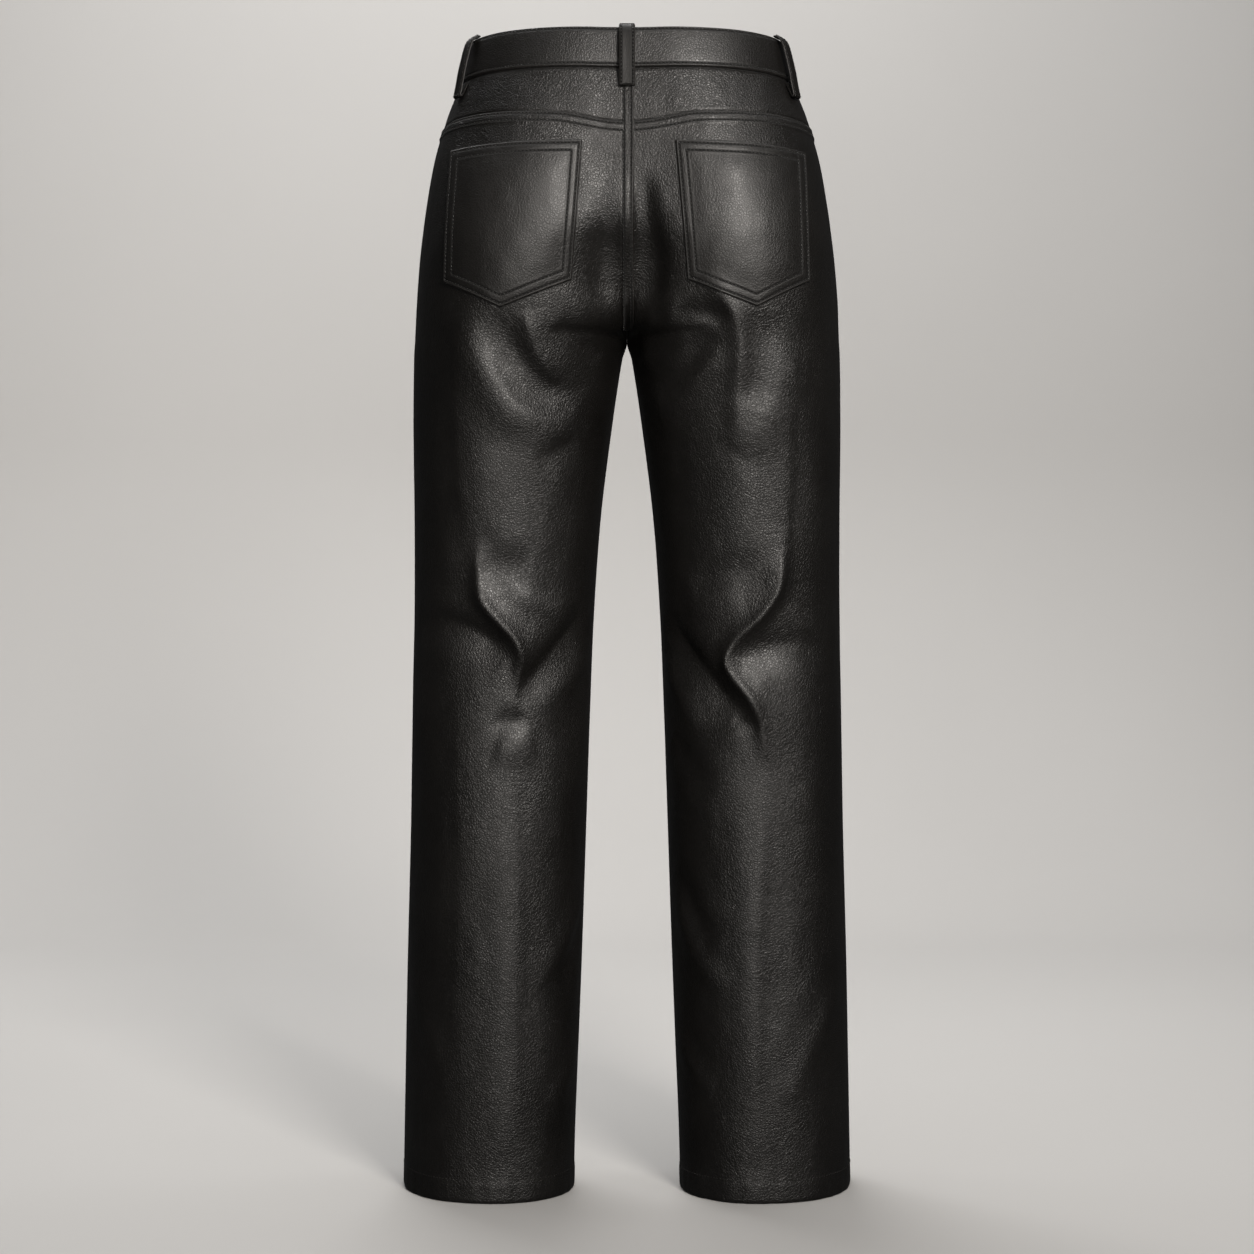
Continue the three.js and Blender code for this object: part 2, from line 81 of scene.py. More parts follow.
Section = namedtuple("Section", "level outer inner back front seat fore split toe")
SECTIONS = [
    Section(0, 208.4, 50.2, 83, 83, 0, 0, 0.5, 0.11),
    Section(60, 207.5, 48.5, 82, 84, 0, 0, 0.5, 0.1),
    Section(200, 205, 42.8, 80, 86, 0, 0, 0.5, 0.07),
    Section(340, 201.5, 38, 79, 88, 0, 0, 0.5, 0.04),
    Section(440, 199.8, 34.6, 79, 90, 0, 0, 0.5, 0.01),
    Section(530, 198.2, 31, 81, 91, 0, 0, 0.5, 0),
    Section(620, 198, 24.6, 89, 94, 0, 0, 0.5, 0),
    Section(700, 198.8, 14.8, 99, 98, 0, 0, 0.5, 0),
    Section(768, 198.2, 4.6, 110, 100, 0, 0, 0.5, 0),
    Section(784, 197.3, 0, 113, 100, 105, 80, 0.5, 0),
    Section(824, 195.4, 0, 121, 100, 111, 84, 0.49, 0),
    Section(870, 191.4, 0, 126, 100, 117, 90, 0.46, 0),
    Section(917, 185, 0, 123, 99, 117, 94, 0.42, 0),
    Section(954, 178.2, 0, 117, 97, 113, 95, 0.37, 0),
    Section(991, 167, 0, 110, 95, 108, 94, 0.31, 0),
    Section(1022, 155.5, 0, 104, 94, 103, 94, 0.26, 0),
    Section(1060, 147, 0, 97, 92, 97, 92, 0.22, 0),
]

# A crease or ridge.  rise is out of the leather; left and right are its half spreads on either side of
# its path, walked from first to last point; sharp above 1 rounds the crest, 1 pinches it.
Fold = namedtuple("Fold", "side face rise left right sharp path")
FOLDS = [
    # back of the left leg, thigh
    Fold(LEFT, BACK, -6.5, 22, 13, 2.0, [(14, 800), (2, 768), (-11, 743), (-24, 729), (-42, 720)]),
    Fold(LEFT, BACK, 4.5, 20, 12, 1.9, [(30, 812), (24, 778), (13, 745), (3, 720), (-14, 702), (-46, 697)]),
    Fold(LEFT, BACK, -2.2, 9, 14, 2.0, [(-44, 688), (-32, 678), (-17, 664)]),
    Fold(LEFT, BACK, -5, 26, 20, 2.0, [(-78, 900), (-74, 866), (-67, 838), (-56, 806), (-46, 774)]),
    Fold(LEFT, BACK, 3.2, 7, 8, 1.6, [(-4, 800), (-6, 785), (-11, 767), (-19, 748), (-26, 733)]),
    Fold(LEFT, BACK, -2.5, 9, 9, 1.8, [(-21, 789), (-33, 777), (-54, 759)]),
    Fold(LEFT, BACK, 1.8, 8, 30, 2.0, [(31, 800), (29, 766), (28, 704), (25, 642), (19, 590)]),
    # back of the left leg, knee
    Fold(LEFT, BACK, 8.5, 7, 15, 1.4,
         [(16, 600), (14, 566), (13, 547), (8, 535), (1, 524), (-10, 506), (-14, 492), (-13, 476), (-8, 436)]),
    Fold(LEFT, BACK, 2.4, 3.6, 4.4, 1.5,
         [(15, 584), (13, 549), (9, 536), (2, 524), (-9, 507), (-13, 492), (-13, 477), (-8, 440)]),
    Fold(LEFT, BACK, -2.8, 15, 18, 2.0, [(14, 571), (-2, 573), (-18, 569)]),
    Fold(LEFT, BACK, 2.6, 14, 10, 1.9, [(-3, 550), (-19, 542), (-36, 536), (-54, 535)]),
    Fold(LEFT, BACK, -6, 24, 10, 1.7, [(66, 522), (36, 525), (18, 517), (4, 504), (-7, 493)]),
    Fold(LEFT, BACK, 1.6, 16, 22, 2.0, [(63, 502), (32, 500), (11, 491), (-6, 482)]),
    Fold(LEFT, BACK, -6.5, 10, 28, 1.7, [(-68, 534), (-50, 514), (-35, 493), (-22, 475), (-10, 449)]),
    Fold(LEFT, BACK, 1.8, 14, 12, 1.9, [(-78, 507), (-56, 478), (-36, 457), (-18, 442)]),
    Fold(LEFT, BACK, -2.2, 9, 10, 1.8, [(4, 437), (-8, 431), (-20, 437)]),
    Fold(LEFT, BACK, 2.0, 16, 16, 2.0, [(2, 413), (-11, 407), (-26, 413)]),
    Fold(LEFT, BACK, -2, 18, 18, 2.0, [(-76, 470), (-58, 446), (-41, 410)]),
    # back of the left leg, calf
    Fold(LEFT, BACK, 2.4, 24, 10, 1.9, [(-8, 400), (-10, 340), (-12, 270), (-11, 190), (-12, 90), (-12, 30)]),
    Fold(LEFT, BACK, 1.2, 8, 20, 2.0, [(26, 470), (25, 400), (22, 300), (24, 200), (26, 110)]),
    Fold(LEFT, BACK, 2.2, 15, 11, 2.0, [(-76, 284), (-60, 250), (-44, 222), (-24, 190)]),
    Fold(LEFT, BACK, -2, 12, 15, 2.0, [(-78, 250), (-62, 220), (-46, 192)]),
    Fold(LEFT, BACK, 2, 14, 12, 2.0, [(-74, 137), (-55, 105), (-40, 80)]),
    Fold(LEFT, BACK, 1.6, 14, 14, 2.0, [(67, 213), (47, 152), (32, 96)]),
    # back of the right leg, thigh
    Fold(RIGHT, BACK, 5, 11, 8, 1.6, [(-25, 826), (-13, 819), (-4, 805), (1, 787), (0, 760), (-4, 728), (-8, 676)]),
    Fold(RIGHT, BACK, -3, 9, 9, 2.0, [(-38, 800), (-20, 797), (-4, 793)]),
    Fold(RIGHT, BACK, -2.2, 18, 14, 2.0, [(12, 800), (9, 752), (2, 712)]),
    Fold(RIGHT, BACK, 3.2, 20, 20, 2.0, [(30, 772), (21, 734), (9, 702), (-6, 672)]),
    Fold(RIGHT, BACK, 2.6, 11, 13, 2.0, [(-10, 769), (-22, 746), (-41, 721), (-60, 703)]),
    Fold(RIGHT, BACK, -2.6, 10, 10, 2.0, [(-15, 785), (-23, 764), (-36, 742), (-54, 722)]),
    Fold(RIGHT, BACK, 2, 10, 10, 2.0, [(-50, 800), (-58, 778), (-66, 752)]),
    Fold(RIGHT, BACK, 2.2, 7, 32, 2.0, [(24, 730), (23, 677), (21, 624), (18, 578)]),
    Fold(RIGHT, BACK, -7.5, 17, 26, 2.2, [(-75, 926), (-73, 884), (-69, 850), (-58, 814), (-48, 772)]),
    # back of the right leg, knee
    Fold(RIGHT, BACK, 7.5, 8, 15, 1.4, [(21, 612), (18, 576), (16, 556), (11, 541), (2, 524), (-9, 510), (-20, 486)]),
    Fold(RIGHT, BACK, 8, 15, 7, 1.4, [(-6, 522), (-17, 497), (-18, 484), (-13, 470), (-3, 453), (3, 431), (6, 388)]),
    Fold(RIGHT, BACK, 2.4, 3.6, 4.4, 1.5,
         [(18, 590), (16, 557), (11, 542), (2, 525), (-9, 511), (-19, 490)]),
    Fold(RIGHT, BACK, 2.6, 4.4, 3.6, 1.5,
         [(-8, 516), (-17, 495), (-18, 484), (-13, 471), (-3, 453), (3, 431), (6, 394)]),
    Fold(RIGHT, BACK, -3, 15, 17, 2.0, [(11, 563), (-8, 568), (-26, 566), (-42, 558)]),
    Fold(RIGHT, BACK, 1.8, 14, 14, 2.0, [(-5, 543), (-25, 539), (-47, 532)]),
    Fold(RIGHT, BACK, -7, 10, 26, 1.7, [(-66, 534), (-50, 502), (-34, 478), (-18, 453), (-6, 434)]),
    Fold(RIGHT, BACK, -4.5, 13, 26, 1.8, [(-14, 488), (3, 499), (19, 503), (40, 503), (62, 494)]),
    Fold(RIGHT, BACK, 1.4, 20, 18, 2.0, [(-9, 478), (12, 475), (39, 485)]),
    Fold(RIGHT, BACK, 2.4, 14, 12, 1.9, [(-74, 492), (-60, 466), (-48, 444), (-32, 418)]),
    Fold(RIGHT, BACK, -2.2, 8, 8, 1.7, [(-14, 438), (-4, 430), (4, 432)]),
    Fold(RIGHT, BACK, -2.6, 15, 15, 2.0, [(-64, 420), (-48, 396), (-27, 364)]),
    # back of the right leg, calf
    Fold(RIGHT, BACK, 2.4, 9, 26, 1.9, [(4, 400), (3, 330), (0, 270), (-2, 180), (-4, 100), (-4, 30)]),
    Fold(RIGHT, BACK, 2.4, 13, 13, 2.0, [(-70, 284), (-54, 238), (-36, 208), (-18, 194)]),
    Fold(RIGHT, BACK, -2.2, 13, 13, 2.0, [(-62, 300), (-46, 262), (-28, 230)]),
    Fold(RIGHT, BACK, 2, 12, 12, 2.0, [(-70, 142), (-48, 111), (-31, 98)]),
    Fold(RIGHT, BACK, 2.2, 13, 12, 2.0, [(66, 206), (48, 166), (30, 124), (18, 84)]),
    # fronts
    Fold(LEFT, FRONT, 5, 12, 14, 1.9, [(-74, 788), (-44, 806), (-8, 812)]),
    Fold(LEFT, FRONT, 4, 12, 10, 1.9, [(-66, 742), (-36, 770), (6, 778)]),
    Fold(LEFT, FRONT, 4.5, 9, 12, 1.6, [(54, 522), (20, 506), (-18, 514)]),
    Fold(LEFT, FRONT, 5, 11, 13, 1.7, [(-60, 480), (-20, 458), (28, 468)]),
    Fold(LEFT, FRONT, -4, 12, 12, 2.0, [(-40, 500), (-6, 482), (34, 490)]),
    Fold(LEFT, FRONT, 3.5, 13, 13, 2.0, [(-64, 96), (-24, 66), (22, 72)]),
    Fold(RIGHT, FRONT, 5, 12, 14, 1.9, [(-74, 794), (-36, 800), (2, 818)]),
    Fold(RIGHT, FRONT, 4, 12, 10, 1.9, [(-62, 736), (-30, 756), (16, 760)]),
    Fold(RIGHT, FRONT, 5, 10, 12, 1.6, [(62, 508), (22, 498), (-24, 510)]),
    Fold(RIGHT, FRONT, 4, 12, 13, 1.7, [(-54, 464), (-12, 446), (38, 458)]),
    Fold(RIGHT, FRONT, -4, 12, 12, 2.0, [(-34, 486), (0, 472), (42, 482)]),
    Fold(RIGHT, FRONT, 3.5, 13, 13, 2.0, [(-50, 110), (-8, 82), (42, 90)]),
]

# Rows of the leg panels that fan out round the crotch: level at the side seam and at the middle.
Fan = namedtuple("Fan", "side back front")
FANS = [
    Fan(694, 694, 694),
    Fan(722, 718, 718),
    Fan(748, 740, 740),
    Fan(772, 763, 763),
    Fan(797, 784, 784),
    Fan(822, 787, 787),
    Fan(850, 797, 797),
    Fan(880, 818, 818),
    Fan(912, 852, 856),
    Fan(946, 910, 906),
]

# Corners of the patch pockets as (distance from the middle plane, level), round from the upper one
# nearest the middle: top middle, top side, foot side, foot tip, foot middle.
POCKETS = {
    LEFT: [(40, 950), (158, 947), (164, 827), (112, 802), (49, 827)],
    RIGHT: [(43, 950), (160, 946), (163, 828), (115, 803), (54, 827)],
}

# ---- form of the garment ------------------------------------------------------------------------


def ease(x):
    x = np.clip(x, 0.0, 1.0)
    return x * x * (3 - 2 * x)


def mix(a, b, t):
    return a + (b - a) * t


def smooth_curve(knots, values, at):
    """A smooth curve through the values at the knots, with the mean slope of its neighbours at each."""
    knots = np.asarray(knots, float)
    values = np.asarray(values, float)
    before = np.maximum(np.arange(len(knots)) - 1, 0)
    after = np.minimum(np.arange(len(knots)) + 1, len(knots) - 1)
    slopes = (values[after] - values[before]) / (knots[after] - knots[before])
    i = np.clip(np.searchsorted(knots, at, side="right") - 1, 0, len(knots) - 2)
    span = knots[i + 1] - knots[i]
    t = (at - knots[i]) / span
    lead = t * (1 - t) ** 2 * span * slopes[i]
    trail = t * t * (t - 1) * span * slopes[i + 1]
    return mix(values[i], values[i + 1], t * t * (3 - 2 * t)) + lead + trail


def column(name, level):
    return smooth_curve([s.level for s in SECTIONS], [getattr(s, name) for s in SECTIONS], level)


def middle_depth(face, level):
    """Depth of the middle seam: none below the crotch, then a quarter oval up to the seat or belly."""
    rise = SEAT_RISE if face == BACK else FRONT_RISE
    left = 1 - np.clip((level - CROTCH) / rise, 0, 1)
    depth = column("seat" if face == BACK else "fore", level)
    return np.where(level <= CROTCH, 0.0, depth * np.sqrt(np.maximum(0.0, 1 - left * left)))


def form(side, face, turn, level):
    """The smooth form before folds, in millimetres from the origin."""
    turn, level = np.broadcast_arrays(np.asarray(turn, float), np.asarray(level, float))
    outer = column("outer", level)
    inner = np.where(level >= CROTCH, 0.0, np.maximum(0.0, column("inner", level)))
    depth = column("back" if face == BACK else "front", level)
    middle = middle_depth(face, level)
    centre = mix(inner, outer, column("split", level))
    angle = np.radians(np.abs(turn))
    fullness = 1 + 0.03 * np.sin(2 * angle) ** 2
    share = np.abs(turn) / 90
    parted = 1 - ease((level - CROTCH) / CLEFT_RISE)
    across_out = centre + (outer - centre) * np.sin(angle) * fullness
    deep_out = depth * np.cos(angle) * fullness
    across_in = mix(centre * (1 - share), centre - (centre - inner) * np.sin(angle), parted)
    closed = mix(depth, middle, ease(share))
    deep_in = mix(closed, middle + (depth - middle) * np.cos(angle), parted)
    across = np.where(turn >= 0, across_out, across_in)
    deep = np.where(turn >= 0, deep_out, deep_in)
    across = across + np.where(level < CROTCH, column("toe", level), 0.0) * deep * face
    across = np.maximum(0.0, across) - HALVES_OVERLAP
    return np.stack([side * across, face * deep, level - ORIGIN_LEVEL], axis=-1)


def outward(side, face, turn, level):
    """The outward direction of the smooth form."""
    low = form(side, face, np.maximum(-90, np.asarray(turn, float) - 1), level)
    high = form(side, face, np.minimum(90, np.asarray(turn, float) + 1), level)
    up = form(side, face, turn, np.asarray(level, float) + 2) - form(side, face, turn, np.asarray(level, float) - 2)
    normal = np.cross(high - low, up) * (-side * face)
    return normal / np.linalg.norm(normal, axis=-1, keepdims=True)


def rounded_path(path, rounds=2):
    """A path with its corners cut, so that a crease bends instead of kinking."""
    points = np.asarray(path, float)
    for _ in range(rounds):
        near = mix(points[:-1], points[1:], 0.25)
        far = mix(points[:-1], points[1:], 0.75)
        points = np.concatenate([points[:1], np.stack([near, far], 1).reshape(-1, 2), points[-1:]])
    return points


def fold_shape(fold, turn, level):
    """How far one fold lifts the leather at each place."""
    points = rounded_path(fold.path) * (MM_PER_DEGREE, 1)
    across = turn * MM_PER_DEGREE
    nearest = np.full(turn.shape, np.inf)
    signed = np.zeros(turn.shape)
    place = np.zeros(turn.shape)
    steps = len(points) - 1
    for i, (start, end) in enumerate(zip(points[:-1], points[1:])):
        run = end - start
        length = math.hypot(*run)
        dx = across - start[0]
        dy = level - start[1]
        t = np.clip((dx * run[0] + dy * run[1]) / length**2, 0, 1)
        distance = np.hypot(dx - t * run[0], dy - t * run[1])
        closer = distance < nearest
        nearest = np.where(closer, distance, nearest)
        signed = np.where(closer, (run[0] * dy - run[1] * dx) / (length * np.maximum(distance, 0.01)), signed)
        place = np.where(closer, (i + t) / steps, place)
    spread = mix(fold.right, fold.left, ease((1 + signed) / 2))
    taper = ease(np.minimum(place, 1 - place) / 0.36)
    return fold.rise * taper * np.exp(-((nearest / spread) ** fold.sharp))


def lattice_noise(points, size, seed):
    """Smooth random heights from -1 to 1 over points in millimetres, the same at every run."""
    scaled = points / size + seed * 17.3
    cell = np.floor(scaled)
    part = ease(scaled - cell)
    total = np.zeros(points.shape[:-1])
    for corner in np.ndindex(2, 2, 2):
        at = cell + corner
        mixed = np.sin(at @ np.array([127.1, 311.7, 74.7]) + seed) * 43758.5453
        weight = np.prod(np.where(np.array(corner) == 1, part, 1 - part), axis=-1)
        total += (mixed - np.floor(mixed)) * weight
    return 2 * total - 1


def skin(side, face, turn, level, lift=0.0):
    """Points of the leather and their outward directions, in millimetres."""
    turn, level = np.broadcast_arrays(np.asarray(turn, float), np.asarray(level, float))
    points = form(side, face, turn, level)
    directions = outward(side, face, turn, level)
    height = np.zeros(turn.shape)
    for fold in FOLDS:
        if (fold.side, fold.face) == (side, face):
            height = height + fold_shape(fold, turn, level)
    fade = 1 - ease((np.abs(turn) - 70) / 20)
    near_middle = 1 - ease((-turn - 80) / 10)
    seated = ease((level - CROTCH) / 20) * (turn < 0)
    fade = mix(fade, near_middle, seated)
    if face == BACK:
        tuck = np.exp(-(((level - 844) / 34) ** 2)) * np.exp(-(((turn + 90) / 32) ** 2))
    stretch = points * (1.0, 1.0, 0.6)
    height = height + 0.9 * lattice_noise(stretch, 34.0, 3) + 0.35 * lattice_noise(stretch, 13.0, 5)
    height = height * fade * ease((OUTSEAM - BAND_HEIGHT - level) / 40 + 0.2)
    if face == BACK:
        height = height - 8.0 * tuck
    joined = (turn < -89.5) & (level > CROTCH + 1)
    directions[..., 0] = np.where(joined, 0.0, directions[..., 0])
    return points + directions * (height + lift)[..., None], directions


def turn_at(side, face, across, level):
    """The turn at which the form lies a given distance from the middle plane."""
    across, level = np.broadcast_arrays(np.asarray(across, float), np.asarray(level, float))
    low = np.full(across.shape, -90.0)
    high = np.full(across.shape, 90.0)
    for _ in range(34):
        half = (low + high) / 2
        short = np.abs(form(side, face, half, level)[..., 0]) < across
        low = np.where(short, half, low)
        high = np.where(short, high, half)
    return (low + high) / 2


def middle_share(turn):
    return (1 - np.sin(np.radians(turn))) / 2


def band_seam_level(face, turn):
    return 1018.3 - (0.8 if face == BACK else 5) * ease(middle_share(turn))


def band_top_level(face, turn):
    return 1055.6 - (1 if face == BACK else 4) * ease(middle_share(turn))


def yoke_seam_level(turn):
    return 979 - 11 * middle_share(turn) ** 2


# ---- meshes -------------------------------------------------------------------------------------


def mesh_object(name, points, faces, materials, face_materials=None, attributes=None):
    """A smooth-shaded object from points in millimetres."""
    mesh = bpy.data.meshes.new(name)
    mesh.from_pydata((np.asarray(points) * MM).tolist(), [], [tuple(f) for f in faces])
    for material in materials:
        mesh.materials.append(material)
    if face_materials is not None:
        mesh.polygons.foreach_set("material_index", np.asarray(face_materials, dtype=np.int32))
    for key, values in (attributes or {}).items():
        layer = mesh.attributes.new(key, "FLOAT", "POINT")
        layer.data.foreach_set("value", np.asarray(values, dtype=np.float32))
    mesh.polygons.foreach_set("use_smooth", np.ones(len(mesh.polygons), dtype=bool))
    mesh.set_sharp_from_angle(angle=math.radians(62))
    mesh.validate()
    mesh.update()
    thing = bpy.data.objects.new(name, mesh)
    bpy.context.scene.collection.objects.link(thing)
    return thing


def signed_volume(points, faces):
    quads = np.asarray(faces)
    a, b, c, d = (points[quads[:, k]] for k in range(4))
    return np.einsum("ij,ij->i", a, np.cross(b, c)).sum() + np.einsum("ij,ij->i", a, np.cross(c, d)).sum()


def shell(name, outer, inner, materials, closed=False, attributes=None):
    """A thin closed wall between two grids of points, its second material on the inner side."""
    rows, cols = outer.shape[:2]
    index = np.arange(rows * cols).reshape(rows, cols)
    wide = np.concatenate([index, index[:, :1]], 1) if closed else index
    a, b = wide[:-1, :-1].ravel(), wide[:-1, 1:].ravel()
    c, d = wide[1:, 1:].ravel(), wide[1:, :-1].ravel()
    front = np.stack([a, b, c, d], 1)
    back = front[:, ::-1] + rows * cols
    loops = [wide[0], wide[-1][::-1]]
    if not closed:
        loops = [np.concatenate([index[0, :], index[1:, -1], index[-1, -2::-1], index[-2::-1, 0]])]
    rims = [np.stack([loop[1:], loop[:-1], loop[:-1] + rows * cols, loop[1:] + rows * cols], 1) for loop in loops]
    points = np.concatenate([outer.reshape(-1, 3), inner.reshape(-1, 3)])
    faces = np.concatenate([front, back, *rims])
    kinds = np.concatenate([np.zeros(len(front)), np.ones(len(back)), np.zeros(sum(map(len, rims)))])
    if signed_volume(points, faces) < 0:
        faces = faces[:, ::-1]
    doubled = {key: np.tile(np.asarray(v, float).ravel(), 2) for key, v in (attributes or {}).items()}
    return mesh_object(name, points, faces, materials, kinds, doubled)


def sweep(name, rings, materials, attributes=None):
    """A solid through a row of closed rings of points, capped at both ends."""
    count, size = rings.shape[:2]
    index = np.arange(count * size).reshape(count, size)
    after = np.roll(index, -1, axis=1)
    faces = np.stack([index[:-1].ravel(), after[:-1].ravel(), after[1:].ravel(), index[1:].ravel()], 1)
    points = rings.reshape(-1, 3)
    if signed_volume(points, faces) < 0:
        faces = faces[:, ::-1]
        caps = [index[0], index[-1][::-1]]
    else:
        caps = [index[0][::-1], index[-1]]
    quads = [tuple(f) for f in faces] + [tuple(cap) for cap in caps]
    return mesh_object(name, points, quads, materials, None, attributes)


def finish_piece(piece, slot, *nodes):
    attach(piece, "root")
    if nodes:
        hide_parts(*nodes)
    return piece
# ---- materials ----------------------------------------------------------------------------------


def link(tree, source, target):
    tree.links.new(source, target)


def node(tree, kind, **settings):
    made = tree.nodes.new(kind)
    for key, value in settings.items():
        if key in ("operation", "data_type", "blend_type", "feature", "distance", "attribute_name", "mode"):
            setattr(made, key, value)
        else:
            made.inputs[key.replace("_", " ")].default_value = value
    return made


def arithmetic(tree, operation, first, second=None, third=None, clamp=False):
    made = tree.nodes.new("ShaderNodeMath")
    made.operation = operation
    made.use_clamp = clamp
    for socket, value in zip(made.inputs, (first, second, third)):
        if value is None:
            continue
        if isinstance(value, (int, float)):
            socket.default_value = value
        else:
            link(tree, value, socket)
    return made.outputs[0]


def group_tree(name, inputs, outputs):
    tree = bpy.data.node_groups.new(name, "ShaderNodeTree")
    for label, kind, value in inputs:
        socket = tree.interface.new_socket(name=label, in_out="INPUT", socket_type=kind)
        if value is not None:
            socket.default_value = value
    for label, kind in outputs:
        tree.interface.new_socket(name=label, in_out="OUTPUT", socket_type=kind)
    return tree, tree.nodes.new("NodeGroupInput").outputs, tree.nodes.new("NodeGroupOutput").inputs


def build_hide_grain():
    """Pebbled hide: rounded pebbles parted by fine cracks, over longer soft creases."""
    tree, given, result = group_tree(
        "hide_grain",
        [
            ("Position", "NodeSocketVector", None),
            ("Pebbles per metre", "NodeSocketFloat", 430.0),
            ("Creases per metre", "NodeSocketFloat", 60.0),
            ("Crease depth", "NodeSocketFloat", 0.5),
        ],
        [("Height", "NodeSocketFloat"), ("Cracks", "NodeSocketFloat"), ("Patches", "NodeSocketFloat")],
    )
    warp = node(tree, "ShaderNodeTexNoise", Scale=150.0, Detail=2.0)
    link(tree, given["Position"], warp.inputs["Vector"])
    offset = node(tree, "ShaderNodeVectorMath", operation="SCALE")
    offset.inputs["Scale"].default_value = 0.002
    link(tree, warp.outputs["Color"], offset.inputs[0])
    bent = node(tree, "ShaderNodeVectorMath", operation="ADD")
    link(tree, given["Position"], bent.inputs[0])
    link(tree, offset.outputs[0], bent.inputs[1])
    cells = node(tree, "ShaderNodeTexVoronoi", feature="DISTANCE_TO_EDGE")
    link(tree, bent.outputs[0], cells.inputs["Vector"])
    link(tree, given["Pebbles per metre"], cells.inputs["Scale"])
    pebble = arithmetic(tree, "SMOOTH_MIN", cells.outputs["Distance"], 0.2, 0.14)
    fine = node(tree, "ShaderNodeTexNoise", Detail=3.0, Roughness=0.6)
    link(tree, given["Position"], fine.inputs["Vector"])
    link(tree, arithmetic(tree, "MULTIPLY", given["Pebbles per metre"], 1.4), fine.inputs["Scale"])
    creases = node(tree, "ShaderNodeTexNoise", Detail=4.0, Roughness=0.62, Distortion=1.1)
    link(tree, given["Position"], creases.inputs["Vector"])
    link(tree, given["Creases per metre"], creases.inputs["Scale"])
    folded = arithmetic(tree, "ABSOLUTE", arithmetic(tree, "SUBTRACT", creases.outputs["Fac"], 0.5))
    valley = arithmetic(tree, "SMOOTH_MIN", folded, 0.09, 0.06)
    height = arithmetic(tree, "MULTIPLY_ADD", fine.outputs["Fac"], 0.35, arithmetic(tree, "MULTIPLY", pebble, 4.6))
    height = arithmetic(tree, "MULTIPLY_ADD", valley, arithmetic(tree, "MULTIPLY", given["Crease depth"], 14.0), height)
    link(tree, height, result["Height"])
    link(tree, arithmetic(tree, "SUBTRACT", 1.0, arithmetic(tree, "MULTIPLY", pebble, 4.0), clamp=True), result["Cracks"])
    patches = node(tree, "ShaderNodeTexNoise", Scale=14.0, Detail=3.0, Roughness=0.55)
    link(tree, given["Position"], patches.inputs["Vector"])
    link(tree, patches.outputs["Fac"], result["Patches"])
    return tree


def build_sewn_rows():
    """Grooves pulled in by rows of stitches, and the puckers beside them, by distance from an edge; the second output
    masks those grooves and the leather close against a piece lying on it, where the hide material paints shade.
    """
    tree, given, result = group_tree(
        "sewn_rows",
        [
            ("Distance", "NodeSocketFloat", 50.0),
            ("First row", "NodeSocketFloat", 2.4),
            ("Second row", "NodeSocketFloat", 9.4),
            ("Groove width", "NodeSocketFloat", 0.95),
            ("Nearness", "NodeSocketFloat", 0.0),
            ("Position", "NodeSocketVector", None),
        ],
        [("Height", "NodeSocketFloat"), ("Shaded groove", "NodeSocketFloat")],
    )
    grooves = []
    for row in ("First row", "Second row"):
        gap = arithmetic(tree, "DIVIDE", arithmetic(tree, "SUBTRACT", given["Distance"], given[row]), given["Groove width"])
        grooves.append(arithmetic(tree, "EXPONENT", arithmetic(tree, "MULTIPLY", arithmetic(tree, "MULTIPLY", gap, gap), -1.0)))
    groove = arithmetic(tree, "MAXIMUM", *grooves)
    ripples = node(tree, "ShaderNodeTexNoise", Scale=230.0, Detail=1.0)
    link(tree, given["Position"], ripples.inputs["Vector"])
    near = arithmetic(tree, "EXPONENT", arithmetic(tree, "MULTIPLY", arithmetic(tree, "ABSOLUTE", given["Distance"]), -0.14))
    pucker = arithmetic(tree, "MULTIPLY", near, ripples.outputs["Fac"])
    link(tree, arithmetic(tree, "MULTIPLY_ADD", groove, -1.0, arithmetic(tree, "MULTIPLY", pucker, 0.7)), result["Height"])
    # painted shade: the leather within a millimetre and a half of a piece lying on it joins the mask, as a painted
    # contact shadow
    contact_shade = arithmetic(tree, "MULTIPLY_ADD", given["Nearness"], 4.0, -3.0, clamp=True)
    link(tree, arithmetic(tree, "MAXIMUM", groove, contact_shade), result["Shaded groove"])
    return tree


HIDE_GRAIN = build_hide_grain()
SEWN_ROWS = build_sewn_rows()


def empty_material(name):
    material = bpy.data.materials.new(name)
    material.use_nodes = True
    tree = material.node_tree
    tree.nodes.clear()
    output = tree.nodes.new("ShaderNodeOutputMaterial")
    shader = tree.nodes.new("ShaderNodeBsdfPrincipled")
    link(tree, shader.outputs[0], output.inputs[0])
    return material, tree, shader


def two_tone(tree, mask, dark, light):
    blend = tree.nodes.new("ShaderNodeMix")
    blend.data_type = "RGBA"
    blend.inputs["A"].default_value = (*dark, 1)
    blend.inputs["B"].default_value = (*light, 1)
    link(tree, mask, blend.inputs["Factor"])
    return blend.outputs["Result"]


